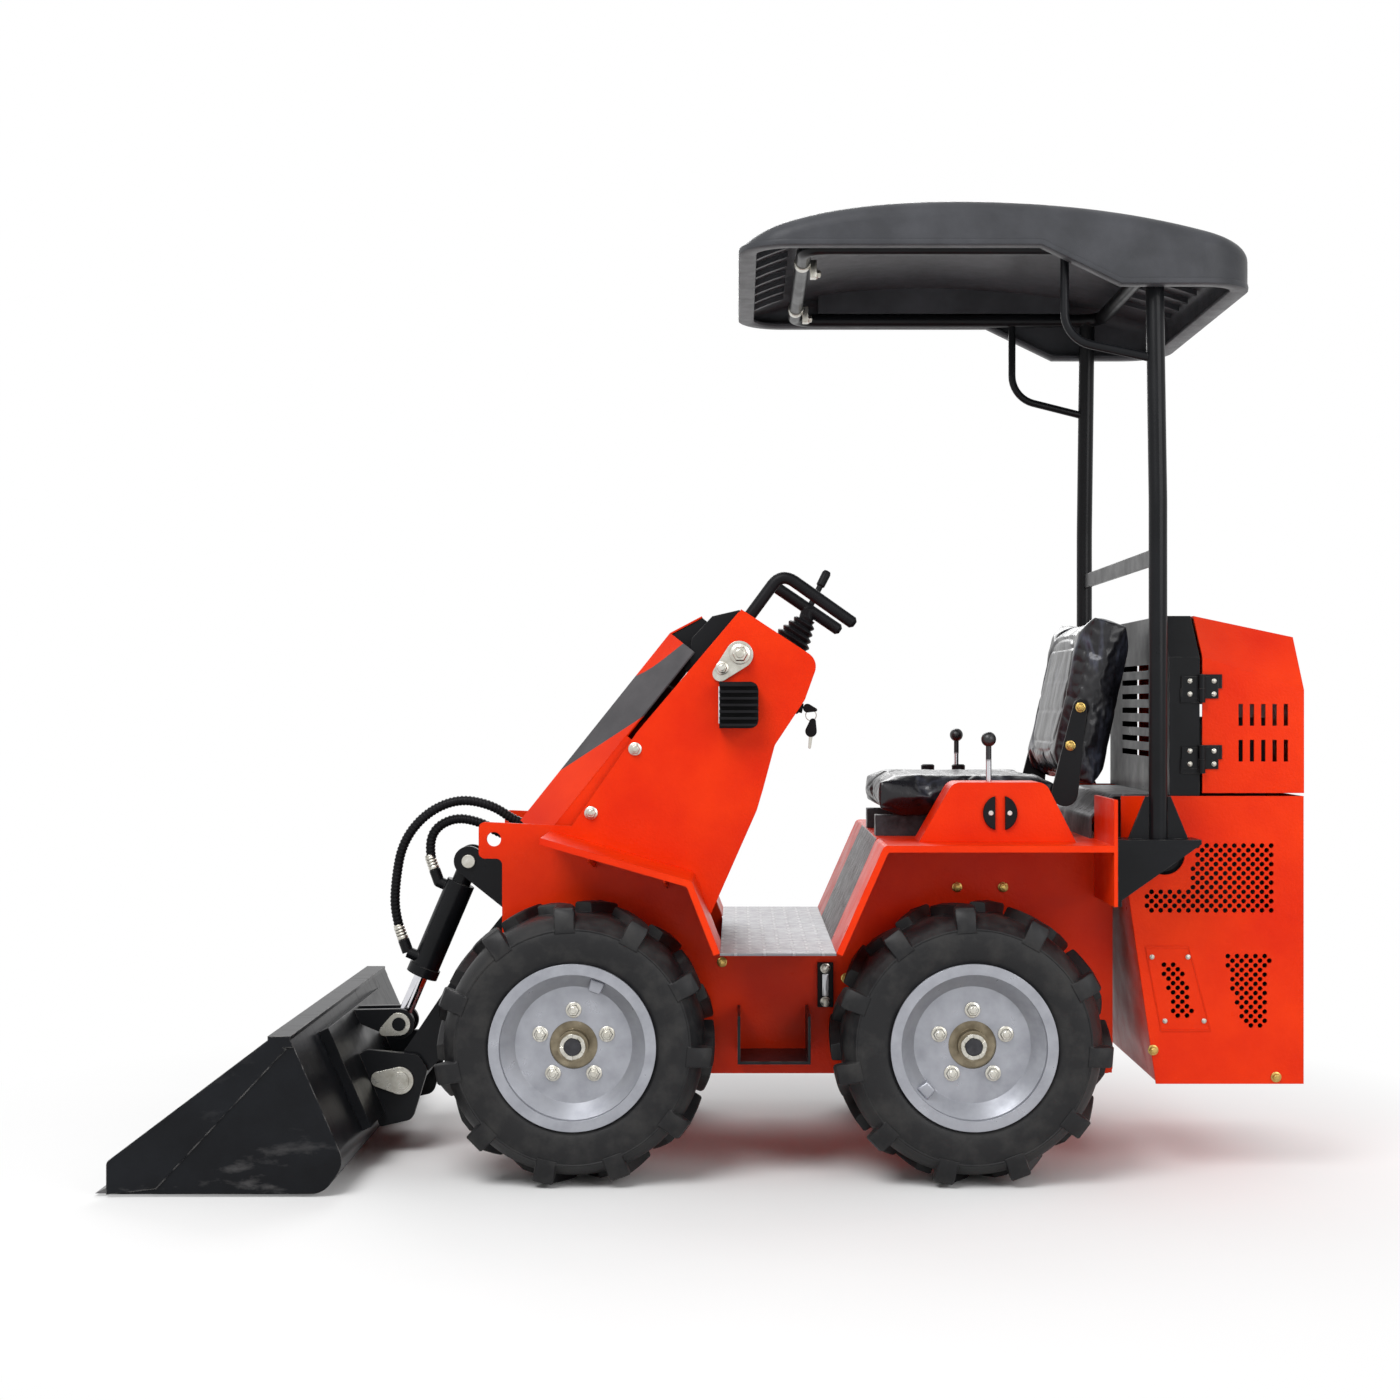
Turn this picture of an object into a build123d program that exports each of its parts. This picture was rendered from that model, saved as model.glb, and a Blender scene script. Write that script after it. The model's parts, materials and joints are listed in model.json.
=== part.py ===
from build123d import *
import os
from math import atan2, cos, degrees, hypot, pi, radians, sin, tan

# Frame: +X is forward, +Y is left, +Z is up, millimetres, standing on Z = 0.

# Wheels
TYRE_RADIUS = 292.0
TYRE_WIDTH = 216.0
TYRE_GAP = 34.0
TYRE_SIDES = 22
TREAD_HALF = 70.0
TREAD_EDGE_DROP = 20.0
SHOULDER_DROP = 44.0
SHOULDER_INSET = 14.0
SIDEWALL_RISE = 30.0
LUG_HEIGHT = 21.0
LUG_COUNT = 11
LUG_WIDTH = 44.0
LUG_NARROW = 32.0
LUG_SLANT = 33.0
LUG_KNEE = 36.0
LUG_OVERLAP = 10.0
LUG_ROOT = 64.0
LUG_INSET = 8.0
LUG_CHAMFER = 9.0
LUG_DRAFT = 6.0
BEAD_RADIUS = 155.0
RIM_FLANGE_RADIUS = 172.0
RIM_FLANGE_WIDTH = 9.0
RIM_WALL = 5.0
WELL_DEPTH = 16.0
WELL_HALF = 34.0
WELL_SLOPE = 14.0
DISC_OFFSET = 14.0
DISC_THICKNESS = 7.0
DISC_DISH = 30.0
DISC_FLAT_RADIUS = 121.0
FRONT_AXLE_X = 290.0
WHEELBASE = 825.0
HUB_RADIUS = 70.0
HUB_THICKNESS = 12.0
HUB_NECK_RADIUS = 32.0
HUB_NECK_LENGTH = 22.0
SPINDLE_RADIUS = 17.5
SPINDLE_TIP = 10.0
MOTOR_RADIUS = 52.0
MOTOR_LENGTH = 78.0
MOTOR_FLANGE_RADIUS = 74.0
MOTOR_FLANGE = 14.0
RUNNING_CLEARANCE = 0.05
SEAT_GAP = 0.3
MOVING_GAP = 6.0

# Chassis and column
CHASSIS_HALF = 260.0
SIDE_PLATE = 8.0
BELLY_Z = 197.0
BELLY_PLATE = 8.0
CHASSIS_FRONT_X = 461.0
CHASSIS_REAR_X = -862.0
TAB_FRONT_X = 512.0
TAB_LOW_Z = 662.0
TAB_TOP_Z = 742.0
TAB_HOLE_X = 479.0
TAB_HOLE_Z = 704.0
TAB_HOLE_RADIUS = 15.5
SHEET = 5.0
BEND_RADIUS = 8.0
TAB_CORNER = 14.0
COLUMN_CORNER = 34.0
COLUMN_BEND = 20.0
DECK_EDGE_Y = 500.0
FLOOR_Z = 485.0
FLOOR_FRONT_X = -13.0
FLOOR_REAR_X = -252.0
FENDER_NOSE = (356.0, 722.0)
FENDER_KNEE = (45.0, 633.0)
DECK_FRONT_X = -350.0
DECK_Z = 706.0
FENDER_REAR_X = -822.0
FENDER_LIP = 14.0
RIB_XS = (257.0, 100.0)
RIB_DEPTH = 46.0
RIB_TIP_DEPTH = 16.0
RIB_Y = 470.0
COLUMN_FOOT = (310.0, 733.0)
COLUMN_BROW = (169.0, 936.0)
COLUMN_TOP_FRONT = (-57.0, 1203.0)
COLUMN_TOP_REAR = (-226.0, 1092.0)
COLUMN_BACK = ((-195.0, 1006.0), (-130.0, 908.0), (-104.0, 811.0), (-91.0, 767.0))
COLUMN_HEEL = (9.0, 541.0)
FRONT_CROSS_TOP = 300.0
STEP_FRONT_X = -49.0
STEP_REAR_X = -202.0
STEP_Z = 245.0
STEP_TOP_Z = 345.0
STEP_OUT_Y = 430.0
STEP_PLATE = 6.0
GAUGE_X = -222.0
GAUGE_Z = 390.0
GAUGE_HEIGHT = 96.0
GAUGE_WIDTH = 34.0
GAUGE_DEPTH = 12.0

# Lift linkage
BOOM_PIVOT = (-53.0, 1104.0)
BUCKET_PIVOT = (697.0, 165.0)
TILT_ANCHOR = (562.0, 640.0)
TILT_PIN = (720.0, 270.0)
LIFT_ANCHOR = (60.0, 340.0)
LIFT_ARM = 240.0
LIFT_ANGLE = -50.0
BOOM_HALF = 150.0
BOOM_PLATE = 10.0
BOOM_TOP = 52.0
BOOM_BELLY = 58.0
BOOM_NECK = 930.0
BOOM_TIP_TOP = 30.0
BOOM_BOSS_RADIUS = 46.0
TIP_BOSS_RADIUS = 38.0
PIN_RADIUS = 20.0
SMALL_PIN_RADIUS = 15.0
KEEPER_RADIUS = 30.0
KEEPER_TAIL = 58.0
KEEPER_TAIL_RADIUS = 17.0
KEEPER_PLATE = 6.0
KEEPER_TURN = -45.0
PIN_HEAD = 8.0
LUG_PLATE = 14.0
LUG_EYE_RADIUS = 34.0
LUG_FOOT = 150.0
EYE_HALF = 22.0
EYE_RADIUS = 28.0
SIDE_GAP = 2.0
LIFT_BARREL_RADIUS = 36.0
LIFT_BARREL_LENGTH = 390.0
LIFT_ROD_RADIUS = 18.0
TILT_BARREL_RADIUS = 32.5
TILT_BARREL_LENGTH = 286.0
TILT_ROD_RADIUS = 16.0
BARREL_CAP = 22.0
BARREL_CAP_RIM = 4.0
PORT_RADIUS = 13.0
PORT_HEIGHT = 16.0
PORT_INSET = 76.0
ELBOW_TURN = 43.0
ELBOW_LENGTH = 30.0
TILT_BARREL_START = 56.0
LIFT_BARREL_START = 48.0
TILT_ROD_ROOM = 32.0
COVER_SHEET = 4.0
COVER_GAP = 8.0
COVER_FLAT_HALF = 150.0
COVER_HEIGHT = 152.0
COVER_START = 56.0
COVER_END = 588.0
COVER_DROP = 70.0
COVER_LIP = (-17.0, 120.0)
COVER_RIBS = (150.0, 450.0)
COVER_RIB_HALF = 120.0

# Bucket and quick-attach frame
BUCKET_HALF = 570.0
BUCKET_TIP_X = 1252.0
BUCKET_GROUND = 6.0
BUCKET_HEEL_X = 790.0
BUCKET_BACK_FOOT = (743.0, 66.0)
BUCKET_BACK_TOP = (854.0, 318.0)
BUCKET_SHEET = 8.0
EDGE_PLATE = 14.0
EDGE_DEPTH = 110.0
TOP_BAR = 46.0
BUCKET_BEND = 44.0
CUTTER_PLATE = 4.0
CUTTER_SEAM = ((863.0, 300.0), (1126.0, 18.0))
CUTTER_FRONT_X = 1226.0
CUTTER_FRONT_Z = 72.0
CUTTER_CORNER = 14.0
FRAME_HALF = 330.0
FRAME_LOW = 22.0
FRAME_HIGH = 252.0
FRAME_PLATE = 22.0
EAR_PLATE = 14.0
EAR_OUTLINE = ((811.0, 204.0), (774.0, 233.0), (658.0, 222.0), (636.0, 189.0), (670.0, 78.0), (752.0, 60.0))
EAR_CORNER = 22.0
PIVOT_KEEPER = (47.0, 3.0)
TILT_KEEPER = (32.0, -15.0)
TILT_KEEPER_RADIUS = 26.0
TILT_KEEPER_TAIL_RADIUS = 12.0

# Seat, consoles and controls
SEAT_HALF = 245.0
CUSHION_FRONT_X = -354.0
CUSHION_REAR_X = -745.0
CUSHION_TOP_Z = 842.0
CUSHION_BASE_Z = 752.0
BACK_TOP = (-828.0, 1186.0)
BACK_FOOT = (-742.0, 843.1)
BACK_THICKNESS = 84.0
RAIL_Y = 150.0
RAIL_HALF = 22.0
CONSOLE_FRONT_X = -431.0
CONSOLE_REAR_X = -762.0
CONSOLE_IN_Y = 268.0
CONSOLE_OUT_Y = 390.0
CONSOLE_TOP_Z = 832.0
CONSOLE_FRONT_SLOPE = 72.0
CONSOLE_REAR_SLOPE = 64.0
CONSOLE_SHEET = 4.0
CONSOLE_CORNER = 26.0
LEVER_X = -585.0
LEVER_HEIGHT = 90.0
LEVER_RADIUS = 6.0
KNOB_RADIUS = 16.0
HANDLE_RADIUS = 15.0
HANDLE_HALF = 110.0
HANDLE_PLACE = 70.0
HANDLE_GRIP = (-34.0, 128.0)
HANDLE_FRONT = (70.0, 136.0)
HANDLE_BEND = 26.0
STALK_RADIUS = 9.0
BELLOWS_RINGS = 5
BELLOWS_HEIGHT = 66.0
BELLOWS_FOOT_RADIUS = 46.0
BELLOWS_TOP_RADIUS = 24.0
BELLOWS_GROOVE = 6.0
LAMP_X = -52.0
LAMP_Z = 995.0
LAMP_SIZE = 84.0
LAMP_HEIGHT = 100.0
LAMP_DEPTH = 60.0
LAMP_CORE = 36.0
LAMP_CORNER = 18.0
LAMP_FINS = 7
FIN_SHARE = 0.4

# Engine end
REAR_LEDGE = 8.0
REAR_X = -1249.0
REAR_FOOT_X = -936.0
REAR_LOW_Z = 192.0
REAR_TOP_Z = 802.0
REAR_SHEET = 5.0
REAR_CORNER = 14.0
HOLE_RADIUS = 5.6
HOLE_SIDES = 6
HOLE_PITCH = (26.0, 13.0)
WINDOW_CORNER = 16.0
WINDOW_UPPER = ((-1012.0, 711.0), (-1190.0, 711.0), (-1190.0, 550.0), (-904.0, 550.0), (-904.0, 611.0),
                (-1000.0, 611.0))
WINDOW_DOOR = ((-934.0, 459.0), (-997.0, 459.0), (-1031.0, 327.0), (-966.0, 327.0))
WINDOW_LOWER = ((-1065.0, 476.0), (-1186.0, 476.0), (-1184.0, 306.0), (-1112.0, 306.0))
INTAKE = (-955.0, 677.0)
INTAKE_RADIUS = 42.0
CLEANER_RADIUS = 36.0
CLEANER_RIBS = 6
CLEANER_GROOVE = 4.0
SHELF_FRONT = (-812.0, 752.0)
BULKHEAD_FRONT_X = -966.0
BULKHEAD_DEPTH = 64.0
LOUVRE_HALF = 190.0
LOUVRE_LOW_Z = 880.0
LOUVRE_PITCH = 32.0
LOUVRE_HEIGHT = 13.0
LOUVRES = 7
HOOD_REAR_X = -1252.0
HOOD_HALF = 352.0
HOOD_TOP_HALF = 262.0
HOOD_CREASE_FRONT = 1097.0
HOOD_CREASE_REAR = 1027.0
HOOD_TOP_FRONT = 1188.0
HOOD_TOP_REAR = 1142.0
HOOD_SHEET = 4.0
HOOD_GAP = 6.0
SLOT_COLUMNS = 5
SLOT_PITCH = 24.0
SLOT_WIDTH = 9.0
SLOT_HEIGHT = 46.0
SLOT_ROWS = (974.0, 898.0)
SLOT_REAR_INSET = 34.0
HINGE_RADIUS = 7.0
HINGE_LENGTH = 60.0
HINGE_ZS = (1030.0, 880.0)
HINGE_STANDOFF = 11.0
LEAF_LENGTH = 38.0
LEAF_PLATE = 4.0
ENGINE_REAR_X = -1190.0
ENGINE_FRONT_X = -952.0
ENGINE_UPPER_FRONT_X = -1050.0
ENGINE_SIDE_ROOM = 72.0
ENGINE_TOP_ROOM = 60.0

# Canopy
POST_RADIUS = 19.0
POST_X = -920.0
POST_Y = 460.0
POST_TOP_Y = 420.0
POST_BEND_Z = 1420.0
POST_BEND_RADIUS = 400.0
POST_BASE_Z = 718.0
POST_BASE_PLATE = 9.0
POST_BASE_REAR_X = -1002.0
POST_BASE_HALF = 46.0
POST_PLATE_LOW_Z = 580.0
POST_PLATE_TOP_Z = 800.0
POST_PLATE = 8.0
POST_WEB_HEIGHT = 88.0
POST_WEB_FOOT = 62.0
POST_WEB_TOP = 26.0
CANOPY_FRONT_X = -53.0
CANOPY_REAR_X = -1122.0
CANOPY_HALF = 490.0
CANOPY_RIM_Z = 1946.0
CANOPY_TAIL_Z = 1866.0
CANOPY_TAIL_X = (-675.0, -840.0)
CANOPY_NOSE_Z = 1957.0
CANOPY_END_Z = 1946.0
CANOPY_CROWN = ((-179.0, 2004.0), (-376.0, 2034.0), (-600.0, 2036.0), (-840.0, 2014.0))
CANOPY_CORNER = 110.0
CANOPY_SHOULDER = 34.0
CANOPY_WALL = 7.0
CANOPY_RIBS = 7
CANOPY_RIB_PITCH = 96.0
CANOPY_RIB_HALF = 7.0
CANOPY_RIB_DEPTH = 12.0
CANOPY_RIB_XS = ((-80.0, -160.0), (-985.0, -1100.0))
SADDLE_X = (-250.0, -870.0)
SADDLE_HALF = 10.0
RAIL_TUBE = 16.0
RAIL_Z = 1952.0
RAIL_FRONT_X = -190.0
RAIL_REAR_X = -950.0
CROSS_BAR_Z = 1304.0
CROSS_BAR_HEIGHT = 34.0
CROSS_BAR_PLATE = 8.0
BRACE_RADIUS = 9.0
BRACE_X = -733.0
BRACE_BEND_Z = 1760.0
BRACE_POST_Z = 1716.0
BRACE_BEND_RADIUS = 70.0
RAIL_BEND_RADIUS = 54.0

# Hoses
HOSE_RADIUS = 10.0
HOSE_OUTER_Y = 12.0
HOSE_INNER_Y = -12.0
HOSE_OUTER = ((402.0, 714.0), (455.0, 726.0), (508.0, 766.0), (588.0, 782.0), (664.0, 748.0),
              (716.0, 682.0), (732.0, 596.0))
HOSE_INNER = ((428.0, 682.0), (486.0, 694.0), (538.0, 726.0), (600.0, 738.0), (652.0, 708.0))
HOSE_OUTER_END = 60.0
HOSE_INNER_END = 34.0
BEND_SHARE = 0.45
GUIDE_PLATE = 6.0
GUIDE_START = 520.0
GUIDE_END = 590.0
GUIDE_HEIGHT = 122.0

# Derived places
AXLE_XS = {"front": FRONT_AXLE_X, "rear": FRONT_AXLE_X - WHEELBASE}
AXLE_Z = TYRE_RADIUS
TYRE_CENTRE_Y = CHASSIS_HALF + TYRE_GAP + TYRE_WIDTH / 2
PLATE_IN = CHASSIS_HALF - SIDE_PLATE
COVER_HALF = PLATE_IN - COVER_GAP
BOOM_LENGTH = hypot(BUCKET_PIVOT[0] - BOOM_PIVOT[0], BUCKET_PIVOT[1] - BOOM_PIVOT[1])
BOOM_TURN = degrees(atan2(BUCKET_PIVOT[1] - BOOM_PIVOT[1], BUCKET_PIVOT[0] - BOOM_PIVOT[0]))
LIFT_PIN = (BOOM_PIVOT[0] + LIFT_ARM * cos(radians(LIFT_ANGLE)),
            BOOM_PIVOT[1] + LIFT_ARM * sin(radians(LIFT_ANGLE)))
HOOD_FRONT_X = BULKHEAD_FRONT_X - BULKHEAD_DEPTH - HOOD_GAP
HOOD_LOW_Z = REAR_TOP_Z + HOOD_GAP
REAR_HALF = HOOD_HALF + REAR_LEDGE
HINGE_X = HOOD_FRONT_X + HOOD_GAP / 2
HINGE_Y = HOOD_HALF + HINGE_STANDOFF


# Shape helpers
def block(x_span, y_span, z_span):
    """A box between two corners."""
    lows = [min(span) for span in (x_span, y_span, z_span)]
    sizes = [abs(span[1] - span[0]) for span in (x_span, y_span, z_span)]
    return Pos(*lows) * Box(*sizes, align=(Align.MIN, Align.MIN, Align.MIN))


def plate(outline, y_from, y_to):
    """A flat plate: an outline in X and Z, thick from one Y to another."""
    face = make_face(Polyline(*[(x, y_from, z) for x, z in outline], close=True))
    return extrude(face, amount=y_to - y_from, dir=(0, 1, 0))


def side_step(start, end, distance):
    """The vector that moves a line to its right-hand side."""
    length = hypot(end[0] - start[0], end[1] - start[1])
    return ((end[1] - start[1]) / length * distance, -(end[0] - start[0]) / length * distance)


def shifted(points, distance):
    """A line of bends in X and Z, moved to its right with mitred corners."""
    steps = [side_step(a, b, distance) for a, b in zip(points, points[1:])]
    moved = [(points[0][0] + steps[0][0], points[0][1] + steps[0][1])]
    for point, before, after in zip(points[1:], steps, steps[1:]):
        total = (before[0] + after[0], before[1] + after[1])
        share = 2 * distance * distance / (total[0] ** 2 + total[1] ** 2)
        moved.append((point[0] + total[0] * share, point[1] + total[1] * share))
    moved.append((points[-1][0] + steps[-1][0], points[-1][1] + steps[-1][1]))
    return moved


def turns_right(before, point, after):
    """Whether a line of bends turns to its right at a point."""
    return ((point[0] - before[0]) * (after[1] - point[1])
            - (point[1] - before[1]) * (after[0] - point[0])) < 0


def bent_line(points, radii, y):
    """The edges of a line of bends with a radius at each inner corner."""
    places = [(x, y, z) for x, z in points]
    return (FilletPolyline(*places, radius=radii) if radii else Line(*places)).edges()


def folded(points, thickness, y_from, y_to, bend=BEND_RADIUS):
    """A folded sheet with rounded bends whose upper face follows a line of bends."""
    lower = shifted(points, thickness)
    outer, inner = [], []
    for before, point, after in zip(points, points[1:], points[2:]):
        swell = abs(thickness)
        upper_outside = turns_right(before, point, after) == (thickness > 0)
        outer.append(bend + (swell if upper_outside else 0.0))
        inner.append(bend + (0.0 if upper_outside else swell))
    ends = [Line((a[0], y_from, a[1]), (b[0], y_from, b[1]))
            for a, b in ((points[0], lower[0]), (points[-1], lower[-1]))]
    face = make_face([*bent_line(points, outer, y_from), *bent_line(lower, inner, y_from), *ends])
    return extrude(face, amount=y_to - y_from, dir=(0, 1, 0))


def rounded_plate(outline, radii, y_from, y_to):
    """A flat plate whose outline has a radius at each corner."""
    wire = FilletPolyline(*[(x, y_from, z) for x, z in outline], radius=radii, close=True)
    return extrude(make_face(wire), amount=y_to - y_from, dir=(0, 1, 0))


def rod(start, end, radius):
    """A round bar between two points."""
    axis = Vector(*end) - Vector(*start)
    return Plane(origin=start, z_dir=axis) * Cylinder(
        radius, axis.length, align=(Align.CENTER, Align.CENTER, Align.MIN))


def cross_pin(centre, radius, y_from, y_to):
    """A round bar across the machine at a place in X and Z."""
    return rod((centre[0], y_from, centre[1]), (centre[0], y_to, centre[1]), radius)


def hull_plate(circles, y_from, y_to):
    """A plate around circles of given centres and radii, joined by tangent sides."""
    parts = [cross_pin(centre, radius, y_from, y_to) for centre, radius in circles]
    for (a, ra), (b, rb) in zip(circles, circles[1:]):
        gap = hypot(b[0] - a[0], b[1] - a[1])
        aim = atan2(b[1] - a[1], b[0] - a[0])
        lean = atan2((gap ** 2 - (ra - rb) ** 2) ** 0.5, ra - rb)
        corners = [(c[0] + r * cos(aim + side * lean), c[1] + r * sin(aim + side * lean))
                   for c, r, side in ((a, ra, 1), (b, rb, 1), (b, rb, -1), (a, ra, -1))]
        parts.append(plate(corners, y_from, y_to))
    return parts[0].fuse(*parts[1:])


def both_sides(shape):
    """A shape and its mirror image on the other side of the machine."""
    return [shape, mirror(shape, about=Plane.XZ)]


def along(start, end, distance, side=0.0):
    """A place on the way from start to end, moved to the left by side."""
    length = hypot(end[0] - start[0], end[1] - start[1])
    dx, dz = (end[0] - start[0]) / length, (end[1] - start[1]) / length
    return (start[0] + dx * distance - dz * side, start[1] + dz * distance + dx * side)


def boom_point(distance, height):
    """A place on the boom, by distance from its pivot and height over its centre line."""
    return along(BOOM_PIVOT, BUCKET_PIVOT, distance, height)


# Wheels
def tyre_segment():
    """One flat-sided segment of the tyre at its top: tread, shoulders, sidewalls and bead seats."""
    half = TYRE_WIDTH / 2
    carcass = TYRE_RADIUS - LUG_HEIGHT
    flange = RIM_FLANGE_RADIUS + SEAT_GAP
    seat = half - RIM_FLANGE_WIDTH - SEAT_GAP
    left = [(TREAD_HALF, carcass), (half - SHOULDER_INSET, carcass - TREAD_EDGE_DROP),
            (half, carcass - SHOULDER_DROP), (half, flange + SIDEWALL_RISE), (seat, flange),
            (seat, BEAD_RADIUS + SEAT_GAP)]
    section = left + [(-y, radius) for y, radius in left[::-1]]
    outline = make_face(Polyline(*[(0, y, radius) for y, radius in section], close=True))
    half_turn = pi / TYRE_SIDES
    segment = extrude(outline, amount=TYRE_RADIUS * tan(half_turn), both=True, dir=(1, 0, 0))
    for side in (1, -1):
        border = Plane(origin=(0, 0, 0), z_dir=(side * cos(half_turn), 0, -sin(half_turn)))
        segment = split(segment, bisect_by=border, keep=Keep.BOTTOM)
    return segment


def tyre():
    """Tyre about the Y axis at the origin, without its lugs."""
    pitch = 360 / TYRE_SIDES
    first, *others = [Rot(0, pitch * (step_no + 0.5), 0) * tyre_segment() for step_no in range(TYRE_SIDES)]
    return first.fuse(*others)


def lug():
    """One flat-topped lug at the top of the tyre, straight at the shoulder and slanted inwards."""
    half = TYRE_WIDTH / 2 - LUG_INSET
    knee = half - LUG_KNEE
    reach = (knee + LUG_OVERLAP) * tan(radians(LUG_SLANT))
    outline = [(-LUG_WIDTH / 2, half), (LUG_WIDTH / 2, half), (LUG_WIDTH / 2, knee),
               (reach + LUG_NARROW / 2, -LUG_OVERLAP), (reach - LUG_NARROW / 2, -LUG_OVERLAP),
               (-LUG_WIDTH / 2, knee)]
    span = reach + LUG_NARROW / 2 + LUG_WIDTH / 2
    top = (TYRE_RADIUS ** 2 - (span / 2) ** 2) ** 0.5
    centred = [(x + LUG_WIDTH / 2 - span / 2, y) for x, y in outline]
    block_top = Pos(0, 0, top) * make_face(Polyline(*centred, close=True))
    shape = extrude(block_top, amount=LUG_ROOT, dir=(0, 0, -1))
    shape = draft(shape.faces().filter_by(Axis.Z, reverse=True), Plane.XY.offset(top), LUG_DRAFT)
    shoulder = shape.faces().sort_by(Axis.Y)[-1].edges().sort_by(Axis.Z)[-1]
    return chamfer(shoulder, LUG_CHAMFER), degrees(atan2(span / 2, top))


def lugs():
    """Both rows of tyre lugs, turned so that one tip is lowest."""
    shape, tip = lug()
    pitch = 360 / LUG_COUNT
    row = [Rot(0, pitch * step_no + 180 - tip, 0) * shape for step_no in range(LUG_COUNT)]
    return row + [Rot(0, pitch / 2, 0) * mirror(each, about=Plane.XZ) for each in row]


def rim():
    """Rim about the Y axis at the origin: rolled flanges, drop centre and a dished disc."""
    half = TYRE_WIDTH / 2
    seat = half - RIM_FLANGE_WIDTH
    disc = half - DISC_OFFSET - DISC_DISH
    well = BEAD_RADIUS - WELL_DEPTH
    outside = [(RIM_FLANGE_RADIUS, -half), (RIM_FLANGE_RADIUS, -seat), (BEAD_RADIUS, -seat),
               (BEAD_RADIUS, -WELL_HALF - WELL_SLOPE), (well, -WELL_HALF), (well, WELL_HALF - WELL_SLOPE),
               (BEAD_RADIUS, WELL_HALF), (BEAD_RADIUS, seat), (RIM_FLANGE_RADIUS, seat),
               (RIM_FLANGE_RADIUS, half)]
    inside = [(BEAD_RADIUS - RIM_WALL, half), (BEAD_RADIUS - RIM_WALL, WELL_HALF + RIM_WALL / 2),
              (well - RIM_WALL, WELL_HALF - WELL_SLOPE), (well - RIM_WALL, -WELL_HALF),
              (BEAD_RADIUS - RIM_WALL, -WELL_HALF - WELL_SLOPE), (BEAD_RADIUS - RIM_WALL, -half)]
    wall = BEAD_RADIUS - RIM_WALL / 2
    bore = SPINDLE_RADIUS + HUB_NECK_RADIUS
    dish = [(bore, disc), (DISC_FLAT_RADIUS, disc), (wall, disc + DISC_DISH),
            (wall, disc + DISC_DISH - DISC_THICKNESS), (DISC_FLAT_RADIUS, disc - DISC_THICKNESS),
            (bore, disc - DISC_THICKNESS)]
    wheel = revolve(Plane.XY * make_face(Polyline(*outside, *inside, close=True)), Axis.Y)
    return wheel + revolve(Plane.XY * make_face(Polyline(*dish, close=True)), Axis.Y)


def hub():
    """Hub plate and castle nut, bored for the motor's spindle."""
    disc = TYRE_WIDTH / 2 - DISC_OFFSET - DISC_DISH
    bore = SPINDLE_RADIUS + RUNNING_CLEARANCE
    plate = disc - DISC_THICKNESS
    tip = disc + HUB_NECK_LENGTH
    profile = Polyline((bore, plate - HUB_THICKNESS), (HUB_RADIUS, plate - HUB_THICKNESS),
                       (HUB_RADIUS, plate),
                       (HUB_NECK_RADIUS, plate), (HUB_NECK_RADIUS, tip), (bore, tip), close=True)
    return revolve(Plane.XY * make_face(profile), Axis.Y)


def wheel_place(axle, side):
    """Where a wheel stands: left wheels as drawn, right wheels turned about."""
    turn = 0 if side > 0 else 180
    return Pos(AXLE_XS[axle], side * TYRE_CENTRE_Y, AXLE_Z) * Rot(0, 0, turn)


def wheels():
    """All four wheels by name."""
    carcass = tyre().fuse(*lugs())
    shapes = {"tyre": carcass, "rim": rim(), "hub": hub()}
    named = {}
    for axle in AXLE_XS:
        for side, word in ((1, "left"), (-1, "right")):
            for piece, shape in shapes.items():
                named[f"{piece}_{axle}_{word}"] = wheel_place(axle, side) * shape
    return named


def wheel_motors():
    """Motor and spindle for each wheel, bolted to the outside of the side plates."""
    disc_y = TYRE_CENTRE_Y + TYRE_WIDTH / 2 - DISC_OFFSET - DISC_DISH
    hub_back = disc_y - DISC_THICKNESS - HUB_THICKNESS
    tip = disc_y + HUB_NECK_LENGTH + SPINDLE_TIP
    motors = []
    for x in AXLE_XS.values():
        centre = (x, AXLE_Z)
        motor = cross_pin(centre, MOTOR_FLANGE_RADIUS, CHASSIS_HALF, CHASSIS_HALF + MOTOR_FLANGE)
        motor += cross_pin(centre, MOTOR_RADIUS, CHASSIS_HALF, CHASSIS_HALF + MOTOR_LENGTH)
        motor += cross_pin(centre, HUB_NECK_RADIUS, CHASSIS_HALF, hub_back - MOVING_GAP)
        motor += cross_pin(centre, SPINDLE_RADIUS, CHASSIS_HALF, tip)
        motors += both_sides(motor)
    return Compound(motors)


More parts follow.
